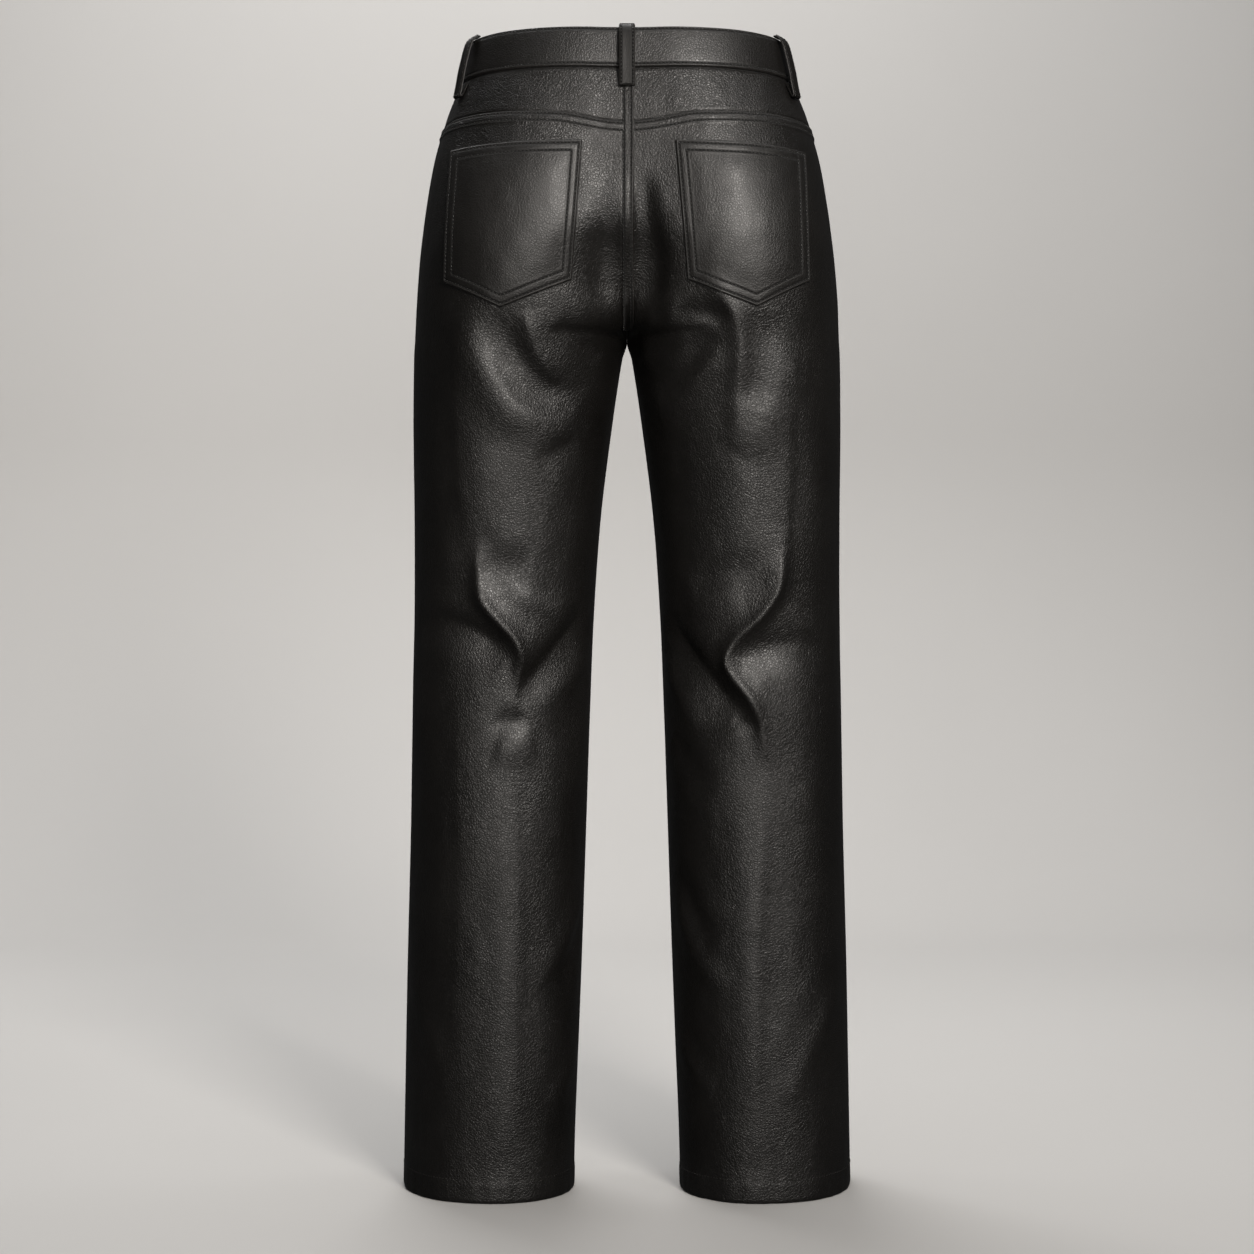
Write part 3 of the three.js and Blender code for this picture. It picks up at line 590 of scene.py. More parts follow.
def leather_material(name, gloss, grain_depth, rows=(2.4, 8.6), pebbles=430.0, crease_depth=0.5, shine=0.55):
    """Black hide: dark and light patches, matt cracks, worn sewn edges, pebbles and grooves, with shade painted nearly
    black into the stitch grooves and against pieces lying on the leather.
    """
    material, tree, shader = empty_material(name)
    place = tree.nodes.new("ShaderNodeTexCoord").outputs["Object"]
    grain = tree.nodes.new("ShaderNodeGroup")
    grain.node_tree = HIDE_GRAIN
    grain.inputs["Pebbles per metre"].default_value = pebbles
    grain.inputs["Creases per metre"].default_value = 70.0
    grain.inputs["Crease depth"].default_value = crease_depth
    link(tree, place, grain.inputs["Position"])
    sewn = tree.nodes.new("ShaderNodeGroup")
    sewn.node_tree = SEWN_ROWS
    sewn.inputs["First row"].default_value = rows[0]
    sewn.inputs["Second row"].default_value = rows[1]
    link(tree, place, sewn.inputs["Position"])
    edge = node(tree, "ShaderNodeAttribute", attribute_name="edge")
    link(tree, edge.outputs["Fac"], sewn.inputs["Distance"])
    # how close a piece lying on the leather is, for the painted shade beside it
    near = node(tree, "ShaderNodeAttribute", attribute_name="shade_nearness")
    link(tree, near.outputs["Fac"], sewn.inputs["Nearness"])
    patches = arithmetic(tree, "MULTIPLY_ADD", grain.outputs["Patches"], 1.6, -0.3, clamp=True)
    tone = two_tone(tree, patches, (0.004, 0.0035, 0.003), (0.0072, 0.0064, 0.0056))
    wear = arithmetic(tree, "EXPONENT", arithmetic(tree, "MULTIPLY", edge.outputs["Fac"], -1.1))
    wear = arithmetic(tree, "MULTIPLY", wear, 0.4, clamp=True)
    worn = tree.nodes.new("ShaderNodeMix")
    worn.data_type = "RGBA"
    worn.inputs["B"].default_value = (0.03, 0.027, 0.024, 1)
    link(tree, wear, worn.inputs["Factor"])
    link(tree, tone, worn.inputs["A"])
    # painted shade: the base colour is mixed nearly to black in the stitch grooves and against pieces lying on the
    # leather
    shade = tree.nodes.new("ShaderNodeMix")
    shade.data_type = "RGBA"
    shade.inputs["B"].default_value = (0.002, 0.002, 0.002, 1)
    link(tree, arithmetic(tree, "MULTIPLY", sewn.outputs["Shaded groove"], 0.95), shade.inputs["Factor"])
    link(tree, worn.outputs["Result"], shade.inputs["A"])
    link(tree, shade.outputs["Result"], shader.inputs["Base Color"])
    rough = arithmetic(tree, "MULTIPLY_ADD", patches, 0.1, gloss)
    rough = arithmetic(tree, "MULTIPLY_ADD", grain.outputs["Cracks"], 0.14, rough)
    link(tree, arithmetic(tree, "MULTIPLY_ADD", sewn.outputs["Shaded groove"], 0.6, rough, clamp=True), shader.inputs["Roughness"])
    shader.inputs["Specular IOR Level"].default_value = shine
    link(tree, arithmetic(tree, "MULTIPLY_ADD", sewn.outputs["Shaded groove"], -0.12, 0.12, clamp=True), shader.inputs["Coat Weight"])
    shader.inputs["Coat Roughness"].default_value = 0.3
    fine = node(tree, "ShaderNodeBump", Strength=1.0, Distance=grain_depth * MM)
    link(tree, grain.outputs["Height"], fine.inputs["Height"])
    pulled = node(tree, "ShaderNodeBump", Strength=1.0, Distance=0.35 * MM)
    link(tree, sewn.outputs["Height"], pulled.inputs["Height"])
    link(tree, fine.outputs["Normal"], pulled.inputs["Normal"])
    link(tree, pulled.outputs["Normal"], shader.inputs["Normal"])
    return material


def flesh_material():
    """The unfinished inner side of the hide: a short, matt, fibrous nap."""
    material, tree, shader = empty_material("flesh_side")
    place = tree.nodes.new("ShaderNodeTexCoord").outputs["Object"]
    nap = node(tree, "ShaderNodeTexNoise", Scale=900.0, Detail=5.0, Roughness=0.7)
    cloud = node(tree, "ShaderNodeTexNoise", Scale=25.0, Detail=3.0)
    for texture in (nap, cloud):
        link(tree, place, texture.inputs["Vector"])
    mask = arithmetic(tree, "MULTIPLY", nap.outputs["Fac"], cloud.outputs["Fac"])
    mask = arithmetic(tree, "MULTIPLY", mask, 2.6, clamp=True)
    link(tree, two_tone(tree, mask, (0.012, 0.011, 0.011), (0.05, 0.046, 0.043)), shader.inputs["Base Color"])
    shader.inputs["Roughness"].default_value = 0.95
    shader.inputs["Sheen Weight"].default_value = 0.15
    bump = node(tree, "ShaderNodeBump", Strength=0.7, Distance=0.3 * MM)
    link(tree, nap.outputs["Fac"], bump.inputs["Height"])
    link(tree, bump.outputs["Normal"], shader.inputs["Normal"])
    return material


def thread_material():
    """Waxed black thread, with the twist of its plies."""
    material, tree, shader = empty_material("waxed_thread")
    place = tree.nodes.new("ShaderNodeTexCoord").outputs["Object"]
    plies = node(tree, "ShaderNodeTexWave", Scale=1100.0, Distortion=1.5)
    link(tree, place, plies.inputs["Vector"])
    link(tree, two_tone(tree, plies.outputs["Fac"], (0.008, 0.0076, 0.007), (0.026, 0.025, 0.023)), shader.inputs["Base Color"])
    shader.inputs["Roughness"].default_value = 0.34
    bump = node(tree, "ShaderNodeBump", Strength=0.5, Distance=0.1 * MM)
    link(tree, plies.outputs["Fac"], bump.inputs["Height"])
    link(tree, bump.outputs["Normal"], shader.inputs["Normal"])
    return material


def tape_material():
    """Herringbone zip tape."""
    material, tree, shader = empty_material("zip_tape_weave")
    place = tree.nodes.new("ShaderNodeTexCoord").outputs["Object"]
    turned = node(tree, "ShaderNodeMapping", Rotation=(0.0, math.radians(45), 0.0))
    link(tree, place, turned.inputs["Vector"])
    weft = node(tree, "ShaderNodeTexWave", Scale=420.0, Distortion=0.4)
    link(tree, turned.outputs[0], weft.inputs["Vector"])
    link(tree, two_tone(tree, weft.outputs["Fac"], (0.008, 0.008, 0.008), (0.022, 0.022, 0.022)), shader.inputs["Base Color"])
    shader.inputs["Roughness"].default_value = 0.85
    bump = node(tree, "ShaderNodeBump", Strength=0.8, Distance=0.2 * MM)
    link(tree, weft.outputs["Fac"], bump.inputs["Height"])
    link(tree, bump.outputs["Normal"], shader.inputs["Normal"])
    return material


def metal_material():
    """Dark plated metal with fine brushing and rubbed patches."""
    material, tree, shader = empty_material("plated_metal")
    place = tree.nodes.new("ShaderNodeTexCoord").outputs["Object"]
    rubbed = node(tree, "ShaderNodeTexNoise", Scale=260.0, Detail=4.0)
    brushed = node(tree, "ShaderNodeTexNoise", Scale=1500.0, Detail=2.0)
    for texture in (rubbed, brushed):
        link(tree, place, texture.inputs["Vector"])
    link(tree, two_tone(tree, rubbed.outputs["Fac"], (0.09, 0.085, 0.08), (0.3, 0.29, 0.27)), shader.inputs["Base Color"])
    shader.inputs["Metallic"].default_value = 1.0
    link(tree, arithmetic(tree, "MULTIPLY_ADD", brushed.outputs["Fac"], 0.25, 0.2), shader.inputs["Roughness"])
    bump = node(tree, "ShaderNodeBump", Strength=0.4, Distance=0.05 * MM)
    link(tree, brushed.outputs["Fac"], bump.inputs["Height"])
    link(tree, bump.outputs["Normal"], shader.inputs["Normal"])
    return material


HIDE = leather_material("panel_hide", 0.29, 0.2)
POCKET_HIDE = leather_material("pocket_hide", 0.34, 0.12, rows=(2.8, 9.6))
BAND_HIDE = leather_material("band_hide", 0.3, 0.14, rows=(2.6, -20.0), crease_depth=0.3)
LOOP_HIDE = leather_material("loop_hide", 0.4, 0.06, rows=(2.0, -20.0), crease_depth=0.1, shine=0.3)
HEM_HIDE = leather_material("hem_hide", 0.34, 0.16, rows=(-20.0, -30.0))
FLESH = flesh_material()
THREAD = thread_material()
TAPE = tape_material()
METAL = metal_material()

# ---- pieces of leather --------------------------------------------------------------------------


def crowded(start, end, step, gaps):
    """Even places from start to end, with extra ones close to each end at the given gaps."""
    gaps = np.asarray(gaps, float)
    inner = np.linspace(start + gaps[-1], end - gaps[-1], max(2, int(round((end - start) / step))))
    return np.concatenate([start + gaps[:-1], inner, (end - gaps[:-1])[::-1]])


EDGE_CROWD = (0, 0.3, 0.7, 1.3, 2.2)
PANEL_TURNS = {
    BACK: crowded(-EDGE_TURN, EDGE_TURN, 1.75, EDGE_CROWD),
    FRONT: crowded(-EDGE_TURN, EDGE_TURN, 2.2, EDGE_CROWD),
}
SIDE_LEVELS = {
    BACK: crowded(0, 946, 2.6, (0, 0.5, 1.2, 2.2, 4)),
    FRONT: crowded(0, 946, 3.4, (0, 0.5, 1.2, 2.2, 4)),
}


def fanned_levels(face, turn, side_level):
    """Levels of the leg panels' rows, which dip towards the crotch near the middle."""
    middles = [fan.back if face == BACK else fan.front for fan in FANS]
    middle = np.interp(side_level, [0] + [fan.side for fan in FANS], [0] + middles)
    return mix(side_level, middle, 1 - ease((turn + 90) / 105))


def rolled(distance, drop=0.7, width=1.3):
    """The leather's surface falls away over its cut or folded edge."""
    return -drop * np.exp(-((distance / width) ** 2))


def crevice(face, turn, level, depth=1.3, width=1.5):
    """The leather turns in under the foot of the band."""
    return -depth * np.exp(-(((band_seam_level(face, turn) - level) / width) ** 2))


def shade_nearness(distance):
    """1 against a piece that lies on the leather, falling to 0 by six millimetres away; within a millimetre and a half
    of the piece the hide material paints shade.
    """
    return np.clip(1 - np.abs(distance) / 6, 0, 1)


def row_dip(distance, row, depth=0.4, width=0.75):
    """The groove that a row of stitches pulls into the leather."""
    return depth * np.exp(-(((distance - row) / width) ** 2))


TOP_ROWS = np.array([0, 0.35, 0.8, 1.3, 1.8, 2.4, 3.0, 3.7, 5, 6.5, 7.6, 8.1, 8.6, 9.1, 9.8, 10.6, 11.6, 13, 15.5])


def leg_panel(side, face):
    top = yoke_seam_level if face == BACK else lambda turn: band_seam_level(face, turn) + UNDER_BAND
    turn = PANEL_TURNS[face][None, :]
    below = fanned_levels(face, turn, SIDE_LEVELS[face][:, None])
    reach = top(turn) - below[-1:]
    if face == BACK:
        steps = np.concatenate([np.linspace(0, 0.45, 5)[1:], 1 - TOP_ROWS[::-1] / 33])[:, None]
    else:
        steps = crowded(0, 1, 0.038, (0, 0.012, 0.03, 0.06))[1:, None]
    level = np.concatenate([below, below[-1:] + reach * steps])
    turn = np.broadcast_to(turn, level.shape)
    from_top = top(turn) - level
    from_seam = (90 - np.abs(turn)) * MM_PER_DEGREE
    from_hem = level
    lift = rolled(from_seam) + rolled(from_hem, 0.8, 1.4)
    lift += rolled(from_top, 1.3, 0.8) if face == BACK else crevice(face, turn, level)
    if face == BACK:
        lift += 0.9 * (1 - ease((from_top - 9.0) / 2.4))
        lift -= row_dip(from_top, 2.4) + row_dip(from_top, 8.6)
    lift -= 0.5 * np.exp(-(((level - HEM_ROW) / 1.6) ** 2))
    lift += 0.45 * (1 - ease((level - HEM_ROW) / 3)) * (1 + 0.5 * np.sin(turn * 0.42 + 2 * np.sin(turn * 0.11)))
    outer, direction = skin(side, face, turn, level, lift)
    inner = outer - direction * LEATHER
    if face == BACK:
        edge = from_top
        flat = np.stack([np.abs(form(side, face, turn, level)[..., 0]) * SEAT_WIDENING, level], axis=-1)
        # near marks where shade is painted along the pocket outlines and the yoke seam
        near = shade_nearness(edge_distance(flat, np.array(POCKETS[side], float) * (SEAT_WIDENING, 1)))
        near = np.maximum(near, shade_nearness(from_top))
    else:
        edge = np.full(turn.shape, 60.0)
        # near marks where shade is painted under the foot of the band
        near = shade_nearness(band_seam_level(face, turn) - level)
    name = f"{'back' if face == BACK else 'front'}_{'left' if side == LEFT else 'right'}"
    piece = shell(f"{name}_leg", outer, inner, [HIDE, FLESH], attributes={"edge": edge, "shade_nearness": near})
    finish_piece(piece, "leather", name)
    return piece


def yoke(side):
    turn = PANEL_TURNS[BACK][None, :]
    low = yoke_seam_level(turn)
    high = band_seam_level(BACK, turn) + UNDER_BAND
    share = crowded(0, 1, 0.035, (0, 0.01, 0.025, 0.045))[:, None]
    level = mix(low, high, share)
    turn = np.broadcast_to(turn, level.shape)
    from_seam = (90 - np.abs(turn)) * MM_PER_DEGREE
    lift = rolled(level - low, 0.9, 1.0) + rolled(from_seam, 0.5) + crevice(BACK, turn, level)
    outer, direction = skin(side, BACK, turn, level, lift)
    name = f"yoke_{'left' if side == LEFT else 'right'}"
    # the second attribute marks where shade is painted under the foot of the band
    rims = {"edge": np.full(turn.shape, 60.0), "shade_nearness": shade_nearness(band_seam_level(BACK, turn) - level)}
    piece = shell(f"{name}_panel", outer, outer - direction * LEATHER, [HIDE, FLESH], attributes=rims)
    return finish_piece(piece, "leather", name)


def hem(side):
    """The leather turned up inside a hem, in one ring."""
    ring = [(BACK, t) for t in np.linspace(90, -90, 60)] + [(FRONT, t) for t in np.linspace(-90, 90, 60)[1:-1]]
    levels = crowded(0, HEM_DEPTH, 3.0, (0, 0.5, 1.2))
    outer = np.empty((len(levels), len(ring), 3))
    inner = np.empty_like(outer)
    for i, (face, turn) in enumerate(ring):
        points, direction = skin(side, face, np.full(len(levels), turn), levels)
        taper = 0.5 * np.exp(-((levels / 0.8) ** 2)) + 0.5 * np.exp(-(((HEM_DEPTH - levels) / 0.8) ** 2))
        outer[:, i] = points - direction * (LEATHER + SEAM + 0.2 + taper)[:, None]
        inner[:, i] = points - direction * (2 * LEATHER + SEAM + 0.2 - taper)[:, None]
    name = f"hem_{'left' if side == LEFT else 'right'}"
    piece = shell(f"{name}_turn_up", outer, inner, [HEM_HIDE, HEM_HIDE], closed=True,
                  attributes={"edge": np.full(outer.shape[:2], 60.0)})
    return finish_piece(piece, "leather", name)


def edge_distance(points, outline):
    """Distance in millimetres from flat points to the nearest side of an outline."""
    outline = np.asarray(outline, float)
    best = np.full(points.shape[:-1], np.inf)
    for start, end in zip(outline, np.roll(outline, -1, axis=0)):
        run = end - start
        away = points - start
        t = np.clip((away @ run) / (run @ run), 0, 1)
        best = np.minimum(best, np.linalg.norm(away - t[..., None] * run, axis=-1))
    return best


def pocket_place(side, across, down):
    """(distance from the middle, level) of a point of a pocket; across and down run from 0 to 1."""
    top_middle, top_side, foot_side, tip, foot_middle = (np.array(p, float) for p in POCKETS[side])
    tip_share = (tip[0] - foot_middle[0]) / (foot_side[0] - foot_middle[0])
    towards = np.clip(across / tip_share, 0, 1)[..., None]
    beyond = np.clip((across - tip_share) / (1 - tip_share), 0, 1)[..., None]
    foot = np.where(across[..., None] < tip_share, mix(foot_middle, tip, towards), mix(tip, foot_side, beyond))
    head = mix(top_middle, top_side, across[..., None])
    return mix(head, foot, down[..., None])


# Around the seat, distances from the middle plane are shorter than the leather between them.
SEAT_WIDENING = 1.12


def pocket_surface(side, across, down):
    place = pocket_place(side, across, down)
    flat = place * (SEAT_WIDENING, 1)
    outline = np.array(POCKETS[side], float) * (SEAT_WIDENING, 1)
    edge = edge_distance(flat, outline)
    turn = turn_at(side, BACK, place[..., 0], place[..., 1])
    puff = 1.1 * ease(edge / 28) + rolled(edge, 0.9, 0.6) + 0.4 * (1 - ease((edge - 9.6) / 2.5))
    puff -= row_dip(edge, 2.8) + row_dip(edge, 9.6)
    points, direction = skin(side, BACK, turn, place[..., 1])
    return points, direction, edge, LEATHER + 0.5 + puff


def pocket_lines(width):
    """Places of the grid's lines from edge to edge, close together at the sewn rows."""
    near = np.array([0, 0.35, 0.8, 1.3, 2.0, 2.8, 3.6, 4.6, 6.5, 8.4, 9.0, 9.6, 10.2, 11, 12.5, 15])
    middle = np.linspace(18, width - 18, int(width / 3))
    return np.concatenate([near, middle, width - near[::-1]]) / width


def pocket(side):
    across, down = np.meshgrid(pocket_lines(119.0), pocket_lines(134.0))
    points, direction, edge, height = pocket_surface(side, across, down)
    name = f"pocket_{'left' if side == LEFT else 'right'}"
    outer = points + direction * height[..., None]
    inner = points + direction * 0.35
    piece = shell(f"{name}_patch", outer, inner, [POCKET_HIDE, FLESH], attributes={"edge": edge})
    return finish_piece(piece, "leather", name)


# ---- waistband, belt loops, seam cover ----------------------------------------------------------


def band_stations():
    """(side, face, turn, lift) along the band, from its under end to its lapped upper end."""
    lap_turn = -90 + 90 * LAP / (column("split", ORIGIN_LEVEL) * column("outer", ORIGIN_LEVEL))
    lap_lift = BAND_WALL + SEAM
    turns = np.linspace(-90, 90, 76)
    stations = [(LEFT, FRONT, t, 0.0) for t in np.linspace(lap_turn, -90, 14)]
    stations += [(RIGHT, FRONT, t, 0.0) for t in turns[1:]]
    stations += [(RIGHT, BACK, t, 0.0) for t in turns[::-1][1:]]
    stations += [(LEFT, BACK, t, 0.0) for t in turns[1:]]
    rise = [(LEFT, FRONT, t, lap_lift * ease((-19 - t) / (-19 - lap_turn))) for t in turns[::-1][1:]]
    stations += [s for s in rise if s[2] > lap_turn]
    stations += [(LEFT, FRONT, t, lap_lift) for t in np.linspace(lap_turn, -90, 14)]
    stations += [(RIGHT, FRONT, t, lap_lift) for t in np.linspace(-90, lap_turn, 14)[1:]]
    return stations


def band_height(share):
    """How far the band's face stands out of the form: rolled at its edges, sunk at its sewn rows."""
    edge = np.minimum(share, 1 - share) * BAND_HEIGHT
    rise = BAND_PROUD + 0.7 - 1.9 * np.exp(-edge / 0.55)
    return rise + 0.5 * ease(edge / 13) - row_dip(edge, 2.6, 0.5, 0.8)


def band_profile():
    """The band's section as (share of its height, distance out of the form), round from its foot."""
    near = np.array([0.12, 0.4, 0.8, 1.3, 1.9, 2.6, 3.3, 4.1, 5.5, 8, 11, 14.5])
    shares = np.concatenate([near, [BAND_HEIGHT / 2], BAND_HEIGHT - near[::-1]]) / BAND_HEIGHT
    outer = [(share, band_height(share)) for share in shares]
    inner = [(s, BAND_PROUD - BAND_WALL + 0.8 * abs(2 * s - 1) ** 8) for s in np.linspace(0.98, 0.02, 8)]
    return np.array([(0.0, -0.2)] + outer + [(1.0, -0.2)] + inner)


def waistband():
    profile = band_profile()
    rings = []
    for side, face, turn, lift in band_stations():
        low, high = band_seam_level(face, turn), band_top_level(face, turn)
        level = mix(low, high, profile[:, 0])
        points = form(side, face, turn, level)
        direction = outward(side, face, turn, level)
        wave = 0.35 * lattice_noise(points, 30.0, 9)
        rings.append(points + direction * (profile[:, 1] + lift + wave)[:, None])
    rings = np.array(rings)
    outer_side = profile[:, 1] > -0.5
    from_edge = np.where(outer_side, np.minimum(profile[:, 0], 1 - profile[:, 0]) * BAND_HEIGHT, 60.0)
    edge = np.tile(from_edge, len(rings))
    piece = sweep("waistband_strip", rings, [BAND_HIDE], {"edge": edge})
    return finish_piece(piece, "band_leather", "waistband")


def loop_spine(side, face, turn):
    """The middle of a belt loop's wall, from its foot up over the band, with its directions."""
    wall = LOOP_STRIP / 2
    seam = band_seam_level(face, turn)
    top = band_top_level(face, turn)
    knots = [
        (seam - 5.5, SEAM + wall - 0.1),
        (seam - 11, SEAM + wall + 0.1),
        (seam - 15.6, SEAM + wall + 0.2),
        (seam - 17.6, SEAM + wall + 0.7),
        (seam - 17.6, SEAM + wall + 2.5),
        (seam - 15.4, SEAM + wall + 3.1),
        (seam - 10, SEAM + wall + 4.2),
        (seam - 3, LOOP_ARCH - 1.6),
        (seam + 4, LOOP_ARCH - 0.3),
        (mix(seam, top, 0.5), LOOP_ARCH),
        (top - 9, LOOP_ARCH - 0.5),
        (top - 4, LOOP_ARCH - 1.7),
        (top - 0.6, BAND_PROUD + wall + 2.4),
        (top + 0.9, BAND_PROUD + wall + 0.6),
        (top + 1.2, BAND_PROUD - 0.6),
    ]
    path = rounded_path(knots, 3)
    direction = outward(side, face, turn, path[:, 0])
    spine = form(side, face, np.full(len(path), turn), path[:, 0]) + direction * path[:, 1:2]
    if turn == -90:
        spine[:, 0] = 0.0
        direction[:, 0] = 0.0
    across = np.cross((0, 0, 1), direction[-1])
    across /= np.linalg.norm(across)
    tangent = np.gradient(spine, axis=0)
    facing = np.cross(across, tangent)
    facing /= np.linalg.norm(facing, axis=1, keepdims=True)
    if (facing[len(facing) // 2] @ direction[len(facing) // 2]) < 0:
        facing = -facing
    return spine, across, facing


def belt_loop(name, side, face, turn):
    spine, across, facing = loop_spine(side, face, turn)
    half = LOOP_WIDTH / 2
    outer = [(x, LOOP_STRIP / 2 + 0.35 * (abs(x) / half) ** 2 - 1.1 * (abs(x) / half) ** 10)
             for x in np.linspace(-half, half, 15)]
    inner = [(x, -LOOP_STRIP / 2 + 0.4 * (abs(x) / half) ** 8) for x in np.linspace(half, -half, 9)]
    profile = np.array(outer + inner)
    rings = spine[:, None] + profile[None, :, :1] * across + profile[None, :, 1:] * facing[:, None]
    edge = np.where(profile[:, 1] > 0, half - np.abs(profile[:, 0]), 60.0)
    piece = sweep(f"{name}_strip", rings, [LOOP_HIDE], {"edge": np.tile(edge, len(rings))})
    return finish_piece(piece, "band_leather", name)


SEAM_COVER = (-3.9, 6.1)
COVER_FOOT = 789.0


def back_middle(across, level, out):
    """A point near the middle back seam, a signed distance from the middle plane."""
    across, level, out = np.broadcast_arrays(*(np.asarray(v, float) for v in (across, level, out)))
    result = np.empty(across.shape + (3,))
    for side in (LEFT, RIGHT):
        chosen = (across < 0) if side == LEFT else (across >= 0)
        if not chosen.any():
            continue
        distance = np.maximum(np.abs(across[chosen]), 0.05)
        turn = turn_at(side, BACK, distance, level[chosen])
        points, direction = skin(side, BACK, turn, level[chosen])
        result[chosen] = points + direction * out[chosen][:, None]
        result[chosen, 0] = across[chosen]
    return result


def seam_cover():
    """The felled middle back seam: the upper leather folded under and sewn down twice."""
    low, high = SEAM_COVER
    across = np.array([low, low + 0.5, low + 1.4, -1.0, 1.5, 3.4, 4.4, high - 1.0, high - 0.4, high])
    out = np.array([0.15, 0.55, 0.85, 0.95, 0.95, 0.85, 1.05, 1.25, 1.05, 0.2])
    level = np.linspace(COVER_FOOT, band_seam_level(BACK, -90.0) - 0.4, 66)
    outer = back_middle(across[None, :], level[:, None], out[None, :] + 0.15)
    inner = back_middle(across[None, :], level[:, None], np.full((1, len(across)), 0.05))
    edge = np.broadcast_to(high - across + 0.0, outer.shape[:2])
    piece = shell("middle_seam_fell", outer, inner, [HIDE, FLESH], attributes={"edge": edge})
    return finish_piece(piece, "leather")


# ---- stitches -----------------------------------------------------------------------------------


def stitch_tree():
    """Stitches of one length, spaced along every line of a mesh and turned to follow it."""
    tree = bpy.data.node_groups.new("stitch_rows", "GeometryNodeTree")
    for label, kind in (("Lines", "NodeSocketGeometry"), ("Pitch", "NodeSocketFloat"),
                        ("Stitch length", "NodeSocketFloat"), ("Thread radius", "NodeSocketFloat"),
                        ("Thread", "NodeSocketMaterial")):
        tree.interface.new_socket(name=label, in_out="INPUT", socket_type=kind)
    tree.interface.new_socket(name="Stitches", in_out="OUTPUT", socket_type="NodeSocketGeometry")
    given = tree.nodes.new("NodeGroupInput").outputs
    result = tree.nodes.new("NodeGroupOutput").inputs
    curve = tree.nodes.new("GeometryNodeMeshToCurve")
    link(tree, given["Lines"], curve.inputs["Mesh"])
    spaced = tree.nodes.new("GeometryNodeResampleCurve")
    spaced.mode = "LENGTH"
    link(tree, curve.outputs["Curve"], spaced.inputs["Curve"])
    link(tree, given["Pitch"], spaced.inputs["Length"])
    along = tree.nodes.new("FunctionNodeAlignRotationToVector")
    along.axis = "Z"
    link(tree, tree.nodes.new("GeometryNodeInputTangent").outputs[0], along.inputs["Vector"])
    bead = tree.nodes.new("GeometryNodeMeshUVSphere")
    bead.inputs["Segments"].default_value = 7
    bead.inputs["Rings"].default_value = 5
    bead.inputs["Radius"].default_value = 1.0
    size = tree.nodes.new("ShaderNodeCombineXYZ")
    for axis in ("X", "Y"):
        link(tree, given["Thread radius"], size.inputs[axis])
    halved = arithmetic(tree, "MULTIPLY", given["Stitch length"], 0.5)
    link(tree, halved, size.inputs["Z"])
    placed = tree.nodes.new("GeometryNodeInstanceOnPoints")
    link(tree, spaced.outputs["Curve"], placed.inputs["Points"])
    link(tree, bead.outputs["Mesh"], placed.inputs["Instance"])
    link(tree, along.outputs["Rotation"], placed.inputs["Rotation"])
    link(tree, size.outputs[0], placed.inputs["Scale"])
    real = tree.nodes.new("GeometryNodeRealizeInstances")
    link(tree, placed.outputs["Instances"], real.inputs["Geometry"])
    smooth = tree.nodes.new("GeometryNodeSetShadeSmooth")
    link(tree, real.outputs["Geometry"], smooth.inputs["Geometry"])
    dressed = tree.nodes.new("GeometryNodeSetMaterial")
    link(tree, smooth.outputs["Geometry"], dressed.inputs["Geometry"])
    link(tree, given["Thread"], dressed.inputs["Material"])
    link(tree, dressed.outputs["Geometry"], result["Stitches"])
    return tree


STITCH_TREE = stitch_tree()


def along_lines(name, lines, pitch, length, radius, material, slot):
    """Stitches, or anything as small and regular, along rows of points in millimetres."""
    points = np.concatenate(lines)
    edges = []
    start = 0
    for line in lines:
        edges += [(start + i, start + i + 1) for i in range(len(line) - 1)]
        start += len(line)
    mesh = bpy.data.meshes.new(f"{name}_lines")
    mesh.from_pydata((points * MM).tolist(), edges, [])
    carrier = bpy.data.objects.new(f"{name}_lines", mesh)
    bpy.context.scene.collection.objects.link(carrier)
    modifier = carrier.modifiers.new("stitches", "NODES")
    modifier.node_group = STITCH_TREE
    values = {"Pitch": pitch * MM, "Stitch length": length * MM, "Thread radius": radius * MM, "Thread": material}
    for item in STITCH_TREE.interface.items_tree:
        if item.item_type == "SOCKET" and item.in_out == "INPUT" and item.name in values:
            modifier[item.identifier] = values[item.name]
    bpy.context.view_layer.update()
    evaluated = carrier.evaluated_get(bpy.context.evaluated_depsgraph_get())
    plain = bpy.data.meshes.new_from_object(evaluated)
    plain.name = name
    piece = bpy.data.objects.new(name, plain)
    bpy.context.scene.collection.objects.link(piece)
    carrier.modifiers.clear()
    bpy.data.objects.remove(carrier)
    return finish_piece(piece, slot)


STITCH = {"pitch": 3.4, "length": 2.25, "radius": 0.44}


def seam_row(side, face, level_of, from_turn, to_turn, below, out):
    turn = np.linspace(from_turn, to_turn, 90)
    level = level_of(turn) - below
    points, direction = skin(side, face, turn, level)
    return points + direction * out


def panel_stitches():
    lines = []
    for side in (LEFT, RIGHT):
        for below in (2.4, 8.6):
            lines.append(seam_row(side, BACK, yoke_seam_level, -85, 89.5, below, 0.78))
        for face in (BACK, FRONT):
            lines.append(seam_row(side, face, lambda turn: np.full(turn.shape, HEM_ROW), -89.8, 89.8, 0, 0.1))
    along_lines("panel_stitches", lines, **STITCH, material=THREAD, slot="leather")


def cover_stitches():
    level = np.linspace(COVER_FOOT, band_seam_level(BACK, -90.0) - 1, 90)
    rows = [back_middle(np.full(90, x), level, np.full(90, out)) for x, out in ((-3.2, 0.75), (3.4, 1.05))]
    along_lines("middle_seam_stitches", rows, **STITCH, material=THREAD, slot="leather")


